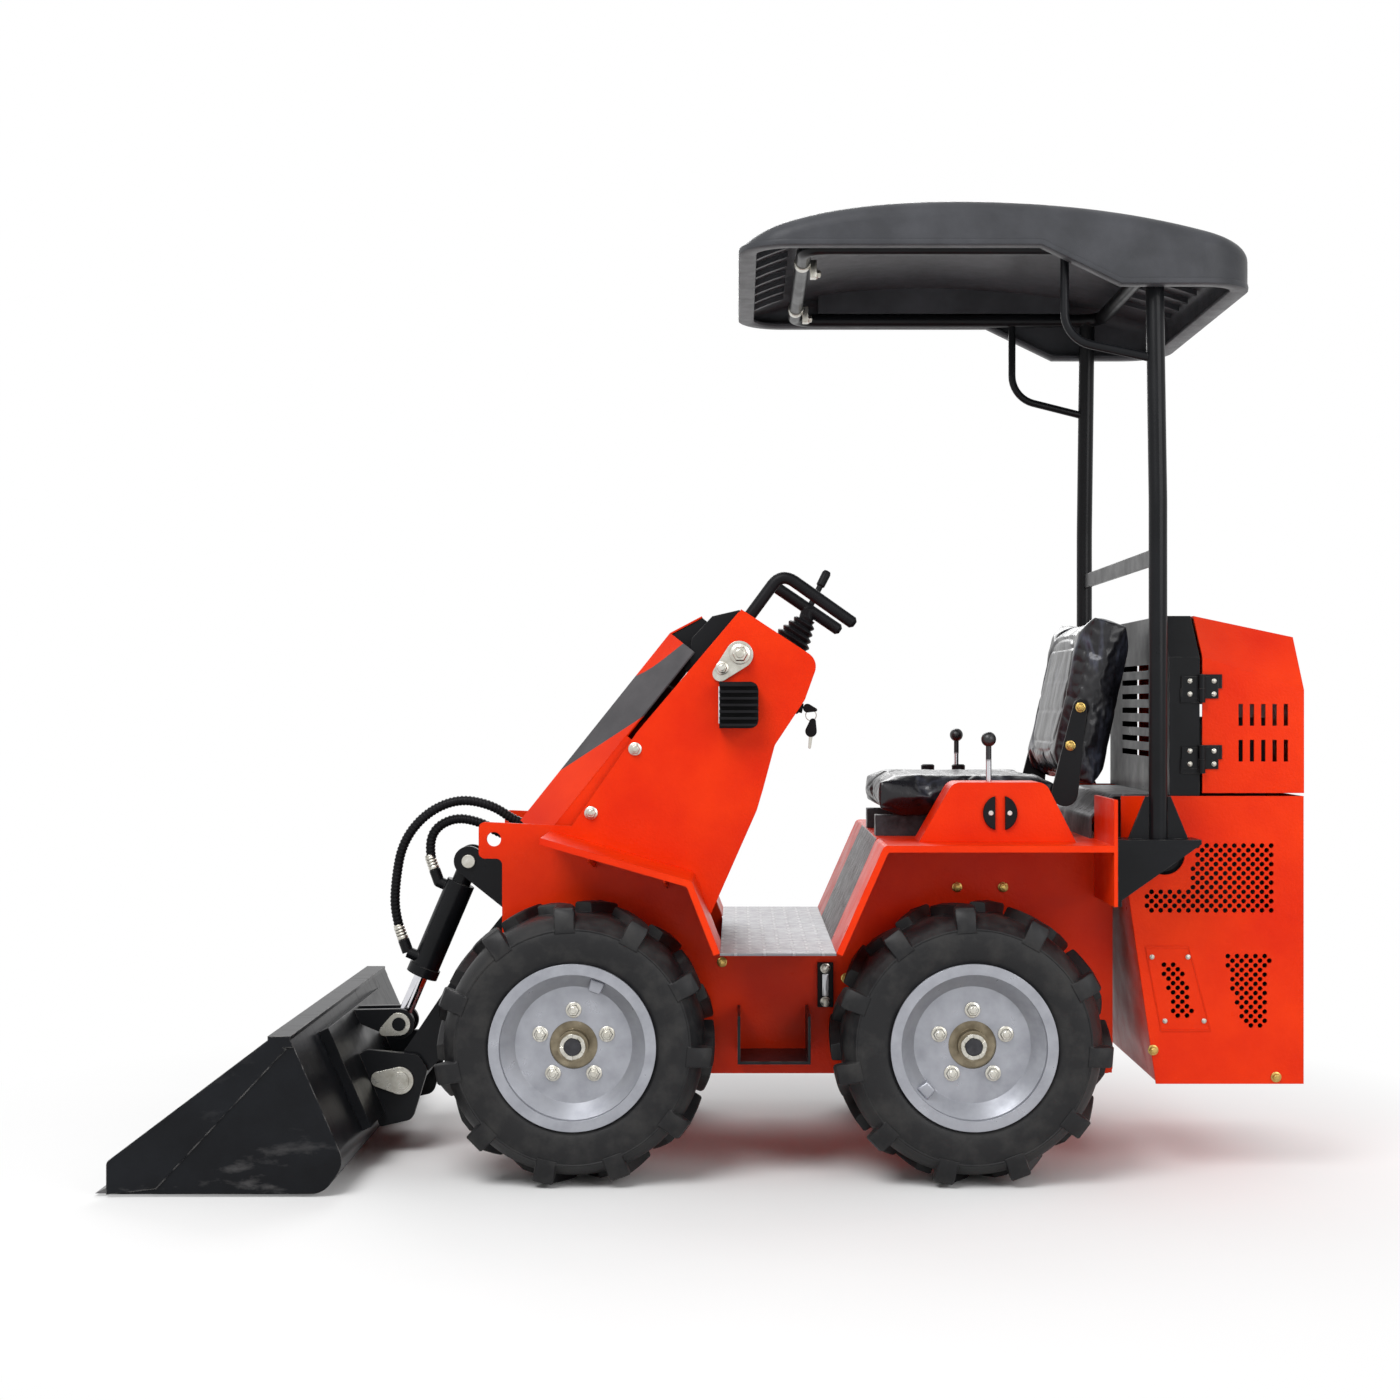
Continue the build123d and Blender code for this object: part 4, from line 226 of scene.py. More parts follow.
# Control lever and grab bar on the column's top
COLUMN_TOP = ((-0.226, 1.092), (-0.057, 1.203))
BELLOWS_PLACE = 0.070
BELLOWS_RINGS = 5
BELLOWS_PITCH = 0.0145
BELLOWS_RADII = (0.046, 0.026)
BELLOWS_FOLD = ((0.0, 0.001), (0.0015, 0.004), (0.0, 0.007), (-0.008, 0.011))
BELLOWS_NECK = (-0.006, 0.004)
BELLOWS_SIDES = 32
STALK_RADIUS = 0.016
GRIP_ENDS = ((777.8, 588.3), (838.0, 629.4))
GRIP_RADIUS = 0.0135
GRIP_ROUND = (0.5, 0.85)
GRAB_BAR = ((752.5, 612.2), (781.7, 572.5), (852.5, 622.7))
GRAB_Y = 0.19
GRAB_BEND = 0.035
THUMB_KNOB = ((-0.212, 0.0, 1.214), (-0.258, -0.02, 1.306))
THUMB_FORM = ((0.007, 0.0), (0.007, 0.060), (0.010, 0.063), (0.0105, 0.094), (0.008, 0.100))

# Consoles and levers
CONSOLE_DISC = (1000.0, 813.0)
CONSOLE_DISC_RADIUS = 0.036
CONSOLE_DISC_GAP = 0.005
CONSOLE_DISC_DEPTH = 0.007
CONSOLE_DISC_ROUND = 0.0015
CONSOLE_DISC_TURN = radians(80.0)
CONSOLE_DISC_STEPS = 16
CONSOLE_SCREW_SHARE = 0.55
CONSOLE_SCREW = ((0.0052, -0.001), (0.0052, 0.001), (0.004, 0.002), (0.0012, 0.0012))
CONSOLE_SCREW_SIDES = 16
CONSOLE_Y = 0.390
CONSOLE_TOP_Z = 0.832
CONSOLE_KNOBS = ((-0.515, -0.330), (-0.590, -0.330))
KNOB_FORM = ((0.020, 0.0), (0.020, 0.004), (0.016, 0.006), (0.0165, 0.016), (0.013, 0.019))
LEVER_KNOB_Z = (0.874, 0.880)

# Glass: the lamp's lens in shares of its depth, and the level gauge's window
LENS_SPAN = (0.18, 0.62)
LENS_MARGIN = 0.010
LENS_FRONT = (-0.001, 0.002)
LENS_ROUND = 0.001
GAUGE_HALF = 0.007
GAUGE_FRONT = (-0.003, 0.002)
GAUGE_MARGIN = 0.024
GAUGE_BOLT_MARGIN = 0.012

# Key, its parts by X and Z from the switch; a strap is two circles
KEY_PLACE = (-0.184, 0.10, 0.992)
SWITCH_FOOT = 0.012
SWITCH_AXIS = (-1.0, 0.0, -0.2)
SWITCH_FORM = ((0.015, 0.0), (0.015, 0.014), (0.011, 0.017), (0.011, 0.024))
KEY_BOW = ((-0.022, -0.004, 0.010), (-0.040, -0.008, 0.004))
KEY_BOW_HALF = 0.002
SPARE_BOW = ((-0.030, -0.056, 0.013), (-0.034, -0.034, 0.007))
SPARE_BOW_HALF = 0.004
SPARE_BLADE = ((-0.030, -0.062, 0.0045), (-0.027, -0.092, 0.003))
SPARE_BLADE_HALF = 0.001
SPARE_BLADE_ROUND = 0.0004
KEY_RING = (-0.030, -0.020)
KEY_RING_RADIUS = 0.012
KEY_RING_WIRE = 0.001
KEY_RING_STEPS = 24
KEY_RING_SIDES = 6

# Canopy: clamps on the frame's front bar, and the rolled lip with its rim's heights and its own section
CLAMP_Y = 0.25
CLAMP_INSET = 0.016
CLAMP_WIDTH = 0.030
CLAMP_FORM = ((0.0175, 0.0), (0.0185, 0.001), (0.0185, 0.029), (0.0175, 0.030))
CLAMP_SIDES = 32
CLAMP_PAD = ((-0.030, -0.034), (-0.016, 0.004))
CLAMP_BOLT_DROP = 0.024
CANOPY_REAR = -1.122
CANOPY_FRONT = -0.053
CANOPY_HALF = 0.490
CANOPY_CORNER = 0.110
RIM_KINKS = (-0.675, -0.840)
RIM_HEIGHTS = (1.946, 1.866)
LIP_STEPS = 10
LIP_SECTION = ((-0.0012, 0.0085), (-0.0022, 0.003), (-0.001, -0.0025), (0.004, -0.0045), (0.030, -0.0045),
               (0.036, -0.001), (0.037, 0.004), (0.034, 0.008), (0.010, 0.009))

# Finishes. Paint and plastic have little gloss, so that the white studio doesn't veil dark colours. Most of
# a noise's values lie in one range. Patches of tone have a scale and a range of noise. A worn edge starts and
# ends by how far a rounded edge is turned. Slides and creases are noise stretched along the axes.
DULL = 0.11
MOST = (0.3, 0.7)
THIN_COAT = {"Coat_Weight": 0.06, "Coat_Roughness": 0.2, "Specular_IOR_Level": DULL}
PAINT_PATCHES = (5.0, 0.35, 0.72)
PATCH_DETAIL = 6.0
PAINT_EDGE = 0.0022
PEEL_SCALE = 190.0
PEEL_DEPTH = 0.002
WORN_EDGE = (0.985, 0.86)
METAL_EDGE = 0.0015
PLASTIC_EDGE = 0.002
RUBBER_EDGE = 0.0025
BUCKET_EDGE = 0.003
BUCKET_SCUFF_Z = (0.16, 0.03)
BUCKET_SLIDES = (5.0, 60.0, 14.0)
WRAP_CREASES = (14.0, 13.0, 3.2)
TREAD_CELL = 0.030
LOZENGE = (0.46, 0.15)
LENS_RIBS = 900.0


def srgb(red, green, blue):
    """A colour as a screen shows it, in the renderer's own scale."""
    def linear(value):
        share = value / 255
        return share / 12.92 if share <= 0.04045 else ((share + 0.055) / 1.055) ** 2.4
    return (linear(red), linear(green), linear(blue), 1.0)


def on_side(place, y):
    """X and Z on a plane across the view, from a pixel of the photograph."""
    scale = (CAMERA_PLACE[1] - y) / PHOTO_FOCAL
    x = CAMERA_PLACE[0] + (PHOTO_AXIS[0] - place[0]) * scale
    return x, CAMERA_PLACE[2] - (place[1] - PHOTO_AXIS[1]) * scale


def places_on(pixels, y):
    """Pixels of the photograph as places on a plane across the view."""
    return [Vector((x, y, z)) for x, z in (on_side(pixel, y) for pixel in pixels)]


def boom_place(along, height):
    """X and Z of a place by its distance along the boom and its height over it."""
    return (BOOM_PIVOT[0] + BOOM_AHEAD.x * along - BOOM_AHEAD.y * height,
            BOOM_PIVOT[1] + BOOM_AHEAD.y * along + BOOM_AHEAD.x * height)


# Materials
class Surface:
    """A material put together node by node around one shader."""

    def __init__(self, name):
        self.material = bpy.data.materials.new(name)
        self.material.use_nodes = True
        self.tree = self.material.node_tree
        self.shader = self.tree.nodes["Principled BSDF"]
        self.place = self.add("ShaderNodeTexCoord").outputs["Object"]

    def feed(self, socket, value):
        """Links a socket's output, or sets a plain value."""
        if isinstance(value, bpy.types.NodeSocket):
            self.tree.links.new(value, socket)
        else:
            socket.default_value = value

    def add(self, kind, inputs=None, **settings):
        """A new node with its settings and its inputs by name or number."""
        node = self.tree.nodes.new(kind)
        for key, value in settings.items():
            setattr(node, key, value)
        for key, value in (inputs or {}).items():
            self.feed(node.inputs[key], value)
        return node

    def noise(self, scale, detail=4.0, rough=0.55, place=None):
        """Noise in the part's own space, from 0 to 1."""
        node = self.add("ShaderNodeTexNoise", {"Vector": place or self.place, "Scale": scale,
                                               "Detail": detail, "Roughness": rough})
        return node.outputs["Fac"]

    def ramp(self, value, low, high, to_low=0.0, to_high=1.0):
        """A value spread from one range to another, held at its ends."""
        node = self.add("ShaderNodeMapRange", {"Value": value, "From Min": low, "From Max": high,
                                               "To Min": to_low, "To Max": to_high})
        return node.outputs["Result"]

    def math(self, operation, first, second=0.0):
        """One sum with two values."""
        return self.add("ShaderNodeMath", {0: first, 1: second}, operation=operation).outputs[0]

    def mix(self, share, first, second):
        """Two colours mixed by a share."""
        node = self.add("ShaderNodeMix", {"Factor": share}, data_type="RGBA")
        self.feed(node.inputs[6], first)
        self.feed(node.inputs[7], second)
        return node.outputs[2]

    def mottled(self, scale, low, high, first, second):
        """Two colours that take turns in slow patches."""
        return self.mix(self.ramp(self.noise(scale, PATCH_DETAIL), low, high), first, second)

    def stretched(self, scale):
        """The part's own space, stretched along its axes."""
        return self.add("ShaderNodeMapping", {"Vector": self.place, "Scale": scale}).outputs[0]

    def bump(self, height, strength, distance, normal=None):
        """A normal raised by a height."""
        inputs = {"Height": height, "Strength": strength, "Distance": distance}
        if normal is not None:
            inputs["Normal"] = normal
        return self.add("ShaderNodeBump", inputs).outputs["Normal"]

    def soft_edge(self, radius):
        """A normal that rounds sharp edges."""
        return self.add("ShaderNodeBevel", {"Radius": radius}, samples=4).outputs["Normal"]

    def edge_mask(self, normal):
        """Where a rounded normal leaves the flat one: the worn edges."""
        flat = self.add("ShaderNodeNewGeometry").outputs["Normal"]
        dot = self.add("ShaderNodeVectorMath", {0: normal, 1: flat}, operation="DOT_PRODUCT")
        return self.ramp(dot.outputs["Value"], *WORN_EDGE)

    def axis(self, name):
        """One coordinate of the part's own space."""
        return self.add("ShaderNodeSeparateXYZ", {0: self.place}).outputs[name]

    def finish(self, **values):
        """The material, with values on its shader's sockets, underscores standing for spaces."""
        for key, value in values.items():
            self.feed(self.shader.inputs[key.replace("_", " ")], value)
        return self.material


RED = srgb(226, 52, 3)
RED_SHADE = srgb(208, 36, 2)


def painted(name, colour, shade, roughness=0.34, coat=0.05, peel=0.12, wear=None):
    """Enamel with orange peel, slow changes of tone, soft edges and, if asked, worn edges."""
    skin = Surface(name)
    tone = skin.mottled(*PAINT_PATCHES, colour, shade)
    edge = skin.soft_edge(PAINT_EDGE)
    if wear is not None:
        patches = skin.ramp(skin.noise(38.0, 5.0), 0.42, 0.6)
        tone = skin.mix(skin.math("MULTIPLY", skin.edge_mask(edge), patches), tone, wear)
    gloss = skin.ramp(skin.noise(14.0, 5.0), 0.3, 0.75, roughness * 0.8, roughness * 1.3)
    normal = skin.bump(skin.noise(PEEL_SCALE, 2.0), peel, PEEL_DEPTH, edge)
    return skin.finish(Base_Color=tone, Roughness=gloss, Normal=normal, Coat_Weight=coat, Coat_Roughness=0.14,
                       Specular_IOR_Level=DULL)


def metal(name, colour, shade, roughness, grain=(60.0, 60.0, 60.0), metallic=1.0):
    """Bare or plated metal with stretched grain."""
    skin = Surface(name)
    grainy = skin.noise(1.0, 6.0, place=skin.stretched(grain))
    tone = skin.mix(skin.ramp(grainy, 0.3, 0.75), colour, shade)
    gloss = skin.ramp(grainy, *MOST, roughness * 0.7, roughness * 1.35)
    normal = skin.bump(grainy, 0.06, 0.001, skin.soft_edge(METAL_EDGE))
    return skin.finish(Base_Color=tone, Roughness=gloss, Metallic=metallic, Normal=normal)


def moulded(name, colour, shade, roughness, grain=900.0, lift=0.25):
    """Moulded plastic or rubber with a fine grain and slow changes of tone."""
    skin = Surface(name)
    tone = skin.mottled(9.0, 0.4, 0.75, colour, shade)
    gloss = skin.ramp(skin.noise(30.0), *MOST, roughness * 0.85, roughness * 1.15)
    normal = skin.bump(skin.noise(grain, 2.0), lift, 0.0006, skin.soft_edge(PLASTIC_EDGE))
    return skin.finish(Base_Color=tone, Roughness=gloss, Normal=normal, Specular_IOR_Level=DULL)


def tread_pattern(skin):
    """Height of lozenges on a chequered plate, lying along X and across it by turns."""
    def part(name):
        scaled = skin.math("DIVIDE", skin.axis(name), TREAD_CELL)
        return skin.math("FLOOR", scaled), skin.math("SUBTRACT", skin.math("FRACT", scaled), 0.5)

    (column, along), (row, across) = part("X"), part("Y")
    turn = skin.math("MODULO", skin.math("ABSOLUTE", skin.math("ADD", column, row)), 2.0)

    def lozenge(*ways):
        squares = []
        for way, half in zip(ways, LOZENGE):
            share = skin.math("ABSOLUTE", skin.math("DIVIDE", way, half))
            squares.append(skin.math("POWER", share, 2.0))
        return skin.ramp(skin.math("ADD", *squares), 1.0, 0.5)

    first = skin.math("MULTIPLY", lozenge(along, across), turn)
    second = skin.math("MULTIPLY", lozenge(across, along), skin.math("SUBTRACT", 1.0, turn))
    return skin.math("ADD", first, second)


def tread_plate(name, colour, shade, metallic):
    """Chequered plate, its lozenges rubbed bright."""
    skin = Surface(name)
    raised = tread_pattern(skin)
    dirt = skin.ramp(skin.noise(24.0, 6.0), 0.35, 0.7)
    tone = skin.mix(dirt, skin.mix(raised, shade, colour), shade)
    normal = skin.bump(raised, 0.9, 0.0022, skin.soft_edge(METAL_EDGE))
    return skin.finish(Base_Color=tone, Metallic=metallic, Normal=normal,
                       Roughness=skin.ramp(skin.noise(40.0), *MOST, 0.34, 0.52))


def cover_bands(name):
    """The boom cover: red at both ends, with a dull band between slanted borders whose black paint is painted
    mid-grey for light from above.
    """
    skin = Surface(name)
    x = skin.math("SUBTRACT", skin.axis("X"), BOOM_PIVOT[0])
    z = skin.math("SUBTRACT", skin.axis("Z"), BOOM_PIVOT[1])

    def measured(first, second):
        return skin.math("ADD", skin.math("MULTIPLY", x, first), skin.math("MULTIPLY", z, second))

    height = skin.math("SUBTRACT", measured(-BOOM_AHEAD.y, BOOM_AHEAD.x), COVER_HEIGHT)
    skew = skin.math("MULTIPLY", height, BAND_SKEW)
    skewed = skin.math("SUBTRACT", measured(BOOM_AHEAD.x, BOOM_AHEAD.y), skew)
    swing = skin.math("SINE", skin.math("MULTIPLY", height, 2 * pi / BAND_WAVE_LENGTH))
    waved = skin.math("ADD", skewed, skin.math("MULTIPLY", swing, BAND_WAVE))
    start = skin.ramp(waved, BAND_START - BAND_EDGE, BAND_START + BAND_EDGE)
    end = skin.ramp(skewed, BAND_END + BAND_EDGE, BAND_END - BAND_EDGE)
    band = skin.math("MULTIPLY", start, end)
    red = skin.mottled(*PAINT_PATCHES, RED, RED_SHADE)
    # Painted light: the band's black paint is given a mid-grey colour, as if lit from above.
    grey = skin.mottled(12.0, 0.35, 0.7, srgb(76, 75, 77), srgb(88, 86, 88))
    peel = skin.noise(PEEL_SCALE, 2.0)
    normal = skin.bump(peel, 0.12, PEEL_DEPTH, skin.soft_edge(PAINT_EDGE))
    return skin.finish(Base_Color=skin.mix(band, red, grey), Normal=normal, **THIN_COAT,
                       Roughness=skin.ramp(band, 0.0, 1.0, 0.36, 0.72))


def tyre_rubber(name):
    """Tyre rubber with dusty patches, a fine grain and scuffs."""
    skin = Surface(name)
    dust = skin.ramp(skin.noise(16.0, 8.0, 0.62), 0.46, 0.78)
    tone = skin.mix(dust, srgb(19, 19, 21), srgb(50, 49, 48))
    grain = skin.bump(skin.noise(420.0, 3.0), 0.3, 0.0008, skin.soft_edge(RUBBER_EDGE))
    scuffs = skin.bump(skin.noise(60.0, 6.0), 0.12, 0.002, grain)
    return skin.finish(Base_Color=tone, Normal=scuffs, Specular_IOR_Level=0.3,
                       Roughness=skin.ramp(dust, 0.0, 1.0, 0.46, 0.78))


def wrapped_vinyl(name):
    """Black vinyl under a clear wrap: its long creases catch light on the coat and carry a painted bluish
    highlight in the colour.
    """
    skin = Surface(name)
    folds = skin.noise(1.0, 5.0, 0.5, skin.stretched(WRAP_CREASES))
    from_middle = skin.math("ABSOLUTE", skin.math("SUBTRACT", folds, 0.5))
    ridge = skin.ramp(from_middle, 0.0, 0.05, 1.0, 0.0)
    wrap = skin.bump(folds, 0.55, 0.010)
    # Painted highlight: a bluish sheen mixed into the colour along the crease ridges.
    sheen = skin.math("MULTIPLY", ridge, skin.ramp(skin.noise(7.0), 0.4, 0.7, 0.0, 0.45))
    tone = skin.mix(sheen, srgb(20, 20, 24), srgb(104, 110, 130))
    leather = skin.bump(skin.noise(700.0, 2.0), 0.2, 0.0006, wrap)
    return skin.finish(Base_Color=tone, Normal=leather, Coat_Normal=wrap, Coat_Weight=0.22,
                       Coat_Roughness=0.14, Specular_IOR_Level=0.3,
                       Roughness=skin.ramp(folds, *MOST, 0.26, 0.42))


def worn_bucket(name):
    """Black bucket paint, scuffed to grey where earth slides over it and bright at its edges."""
    skin = Surface(name)
    drawn = skin.stretched(BUCKET_SLIDES)
    slides = skin.ramp(skin.noise(1.0, 8.0, 0.6, drawn), 0.56, 0.74)
    edge = skin.soft_edge(BUCKET_EDGE)
    patches = skin.ramp(skin.noise(30.0, 6.0), 0.4, 0.6)
    rubbed = skin.math("MULTIPLY", skin.edge_mask(edge), patches)
    low = skin.ramp(skin.axis("Z"), *BUCKET_SCUFF_Z, 0.18, 0.65)
    tone = skin.mottled(7.0, 0.35, 0.7, srgb(14, 15, 18), srgb(23, 25, 29))
    tone = skin.mix(skin.math("MULTIPLY", slides, low), tone, srgb(112, 110, 110))
    tone = skin.mix(rubbed, tone, srgb(142, 140, 138))
    normal = skin.bump(skin.noise(170.0, 3.0), 0.12, 0.002, edge)
    return skin.finish(Base_Color=tone, Normal=normal, **THIN_COAT,
                       Roughness=skin.ramp(slides, 0.0, 1.0, 0.34, 0.55))


def lever_finish(name):
    """A hand lever: chrome stalk below, black knob above."""
    skin = Surface(name)
    knob = skin.ramp(skin.axis("Z"), *LEVER_KNOB_Z)
    fine = skin.noise(300.0, 3.0)
    tone = skin.mix(knob, srgb(206, 206, 210), skin.mix(fine, srgb(22, 22, 24), srgb(34, 34, 36)))
    return skin.finish(Base_Color=tone, Metallic=skin.math("SUBTRACT", 1.0, knob),
                       Normal=skin.bump(fine, 0.05, 0.001), Roughness=skin.ramp(knob, 0.0, 1.0, 0.16, 0.34))


def lamp_glass(name):
    """Bright ribbed lamp glass under a clear coat."""
    skin = Surface(name)
    ribs = skin.math("SINE", skin.math("MULTIPLY", skin.axis("Y"), LENS_RIBS))
    tone = skin.mix(skin.noise(40.0), srgb(226, 228, 230), srgb(196, 198, 202))
    return skin.finish(Base_Color=tone, Roughness=0.08, Metallic=0.35, Coat_Weight=1.0, Coat_Roughness=0.03,
                       Normal=skin.bump(ribs, 0.4, 0.002))


MATERIALS = {
    "red_paint": painted("red_paint", RED, RED_SHADE, peel=0.3),
    "black_paint": painted("black_paint", srgb(14, 15, 17), srgb(22, 23, 26), coat=0.1, peel=0.08,
                           wear=srgb(84, 82, 80)),
    # Painted light and shade: tread_plate and dark_plate are one chequered plate, a paler lit copy for the
    # floor and a darker shaded copy for the seat's front panel.
    "tread_plate": tread_plate("tread_plate", srgb(168, 168, 170), srgb(122, 122, 126), 0.6),
    "dark_plate": tread_plate("dark_plate", srgb(104, 104, 107), srgb(70, 70, 73), 0.3),
    "zinc_steel": metal("zinc_steel", srgb(214, 212, 204), srgb(178, 174, 162), 0.3),
    "wear_steel": metal("wear_steel", srgb(132, 132, 134), srgb(84, 82, 82), 0.42, (8.0, 120.0, 60.0)),
    "chrome_rod": metal("chrome_rod", srgb(224, 224, 228), srgb(206, 206, 212), 0.1),
    "black_plastic": moulded("black_plastic", srgb(18, 18, 20), srgb(28, 28, 31), 0.42),
    "seat_vinyl": wrapped_vinyl("seat_vinyl"),
    "cast_motor": metal("cast_motor", srgb(58, 58, 62), srgb(40, 40, 43), 0.55, metallic=0.5),
    "engine_mass": moulded("engine_mass", srgb(40, 40, 42), srgb(52, 52, 55), 0.6),
    "hose_guard": moulded("hose_guard", srgb(16, 16, 18), srgb(26, 26, 29), 0.38),
    "tyre_rubber": tyre_rubber("tyre_rubber"),
    "rim_silver": metal("rim_silver", srgb(166, 168, 175), srgb(140, 142, 149), 0.36, (22.0, 22.0, 22.0),
                        metallic=0.6),
    "hub_metal": metal("hub_metal", srgb(146, 136, 116), srgb(102, 93, 77), 0.38, (40.0, 40.0, 40.0)),
}
GOLD_ZINC = metal("gold_zinc", srgb(206, 176, 104), srgb(170, 138, 74), 0.3)
WHITE_SCREW = moulded("white_screw", srgb(214, 214, 210), srgb(196, 196, 192), 0.4)
LAMP_GLASS = lamp_glass("lamp_glass")

# Solids whose own finish differs from their slot's plain one
OWN_FINISH = {
    "boom_cover": cover_bands("cover_bands"),
    "bucket_shell": worn_bucket("worn_bucket"),
    "hand_levers": lever_finish("lever_finish"),
    "seat_rails": metal("rail_steel", srgb(64, 64, 68), srgb(40, 40, 43), 0.45, metallic=0.6),
    "canopy": moulded("canopy_skin", srgb(60, 61, 64), srgb(74, 75, 79), 0.36, 520.0, 0.4),
}


def dress_solids():
    """Every solid takes its slot's material, or its own."""
    for part in frame["record"]["subparts"]:
        solid = frame["nodes"][part["node"]]
        solid.data.materials.clear()
        solid.data.materials.append(OWN_FINISH.get(part["node"]) or MATERIALS[part["material_slot"]])


# Mesh tools
def placed(name, data):
    """A new object in the scene."""
    thing = bpy.data.objects.new(name, data)
    bpy.context.scene.collection.objects.link(thing)
    return thing


def to_piece(name, mesh, body, slot, material=None, smooth=40.0):
    """A finished mesh as a piece that rides on a body and takes a slot's finish."""
    mesh.materials.clear()
    mesh.materials.append(material or MATERIALS[slot])
    mesh.shade_smooth()
    mesh.set_sharp_from_angle(angle=radians(smooth))
    piece = placed(name, mesh)
    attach(piece, body)
    return piece


def even_turns(count):
    """Even angles round a full turn."""
    return [2 * pi * step / count for step in range(count)]


def circle(place, axis, radius, height, sides):
    """Points round an axis, some way along it."""
    lean = Vector(axis).to_track_quat("Z", "Y")
    return [Vector(place) + lean @ Vector((radius * cos(turn), radius * sin(turn), height))
            for turn in even_turns(sides)]


def shrunk(outline, amount):
    """An outline drawn in towards its middle."""
    middle = sum((Vector(point) for point in outline), Vector((0.0, 0.0))) / len(outline)
    return [tuple(Vector(point) + (middle - Vector(point)).normalized() * amount) for point in outline]


def strap_outline(first, first_radius, second, second_radius, steps=14):
    """The outline of a strap round two circles."""
    aim = atan2(second[1] - first[1], second[0] - first[0])
    lean = acos((first_radius - second_radius) / hypot(second[0] - first[0], second[1] - first[1]))
    ends = ((first, first_radius, lean, 2 * pi - lean), (second, second_radius, -lean, lean))
    points = []
    for centre, radius, start, end in ends:
        for step in range(steps + 1):
            angle = aim + start + (end - start) * step / steps
            points.append((centre[0] + radius * cos(angle), centre[1] + radius * sin(angle)))
    return points


class Maker:
    """Many small forms gathered into one mesh."""

    def __init__(self):
        self.shape = bmesh.new()

    def rings(self, rings, closed=False):
        """A skin over rings of points, each as long as the next, with its ends filled or joined."""
        rows = [[self.shape.verts.new(point) for point in ring] for ring in rings]
        for low, high in zip(rows, rows[1:] + rows[:1] if closed else rows[1:]):
            for a, b in zip(range(len(low)), [*range(1, len(low)), 0]):
                self.shape.faces.new((low[a], low[b], high[b], high[a]))
        if not closed:
            self.shape.faces.new(rows[0][::-1])
            self.shape.faces.new(rows[-1])

    def turned(self, place, axis, form, sides=24):
        """A form turned about an axis from pairs of radius and height."""
        self.rings([circle(place, axis, radius, height, sides) for radius, height in form])

    def bolt(self, place, axis, width):
        """A hexagon bolt on its washer, by the head's width over its corners."""
        half = width / 2
        foot = [(half * share, height) for share, height in WASHER_FOOT]
        for start, shares, sides in ((foot, WASHER_TOP, WASHER_SIDES), ([], BOLT_HEAD, HEAD_SIDES),
                                     ([], BOLT_STUD, STUD_SIDES)):
            self.turned(place, axis, start + [(half * wide, half * high) for wide, high in shares], sides)

    def bolts_at(self, pixels, y, width):
        """Bolts that look left, at pixels of the photograph on a plane across the view."""
        for place in places_on(pixels, y):
            self.bolt(place, LEFT, width)

    def soften(self, edges, amount, segments=2):
        """Rounded edges."""
        bmesh.ops.bevel(self.shape, geom=edges, offset=amount, segments=segments, affect="EDGES", profile=0.5)

    def slab(self, low, high, soft=0.0015):
        """A box with bevelled edges."""
        made = bmesh.ops.create_cube(self.shape, size=1.0)["verts"]
        middle, size = (Vector(low) + Vector(high)) / 2, Vector(high) - Vector(low)
        for vertex in made:
            vertex.co = middle + vertex.co * size
        self.soften(list({edge for vertex in made for edge in vertex.link_edges}), soft)

    def plate(self, outline, y_from, y_to, soft=0.001):
        """A flat plate from an outline in X and Z, its rims softened."""
        inner = shrunk(outline, soft)
        rows = ((inner, y_from), (outline, y_from + soft), (outline, y_to - soft), (inner, y_to))
        self.rings([[(x, y, z) for x, z in ring] for ring, y in rows])

    def mirrored(self):
        """Everything once more on the machine's other side."""
        whole = self.shape.verts[:] + self.shape.edges[:] + self.shape.faces[:]
        for item in bmesh.ops.duplicate(self.shape, geom=whole)["geom"]:
            if isinstance(item, bmesh.types.BMVert):
                item.co.y = -item.co.y

    def done(self, name, body, slot, material=None, smooth=40.0):
        """The gathered forms as one piece."""
        bmesh.ops.recalc_face_normals(self.shape, faces=self.shape.faces)
        mesh = bpy.data.meshes.new(name)
        self.shape.to_mesh(mesh)
        self.shape.free()
        return to_piece(name, mesh, body, slot, material, smooth)


# Hoses
def cord_curve(name, route, y):
    """A smooth curve guided by a route's points."""
    curve = bpy.data.curves.new(name, "CURVE")
    curve.dimensions = "3D"
    curve.resolution_u = HOSE_STEPS
    spline = curve.splines.new("NURBS")
    spline.points.add(len(route) - 1)
    for point, (x, z) in zip(spline.points, route):
        point.co = (x, y, z, 1.0)
    spline.order_u = 3
    spline.use_endpoint_u = True
    return curve


def cord_points(route, y):
    """Points read from the smooth curve of a route."""
    holder = bpy.data.objects.new("route", cord_curve("route", route, y))
    points = [vertex.co.copy() for vertex in bpy.data.meshes.new_from_object(holder).vertices]
    bpy.data.objects.remove(holder)
    return points


def along_points(points, step):
    """Places and directions at even steps along a row of points."""
    spots, rest = [], 0.0
    for start, end in zip(points, points[1:]):
        reach = (end - start).length
        while rest < reach:
            spots.append((start.lerp(end, rest / reach), (end - start).normalized()))
            rest += step
        rest -= reach
    return spots


def spiral_guard(name, points):
    """The plastic spiral wound round a hose."""
    maker = Maker()
    across = Vector(LEFT)
    rings = []
    for number, (place, ahead) in enumerate(along_points(points, GUARD_PITCH / GUARD_SIDES)):
        angle = 2 * pi * number / GUARD_SIDES
        outward = across * sin(angle) + across.cross(ahead) * cos(angle)
        middle = place + outward * HOSE_DIAMETER / 2
        rings.append([middle + outward * GUARD_HEIGHT * cos(turn) + ahead * GUARD_RADIUS * sin(turn)
                      for turn in even_turns(GUARD_POINTS)])
    maker.rings(rings)
    return maker.done(name, "tilt_barrel", "hose_guard")


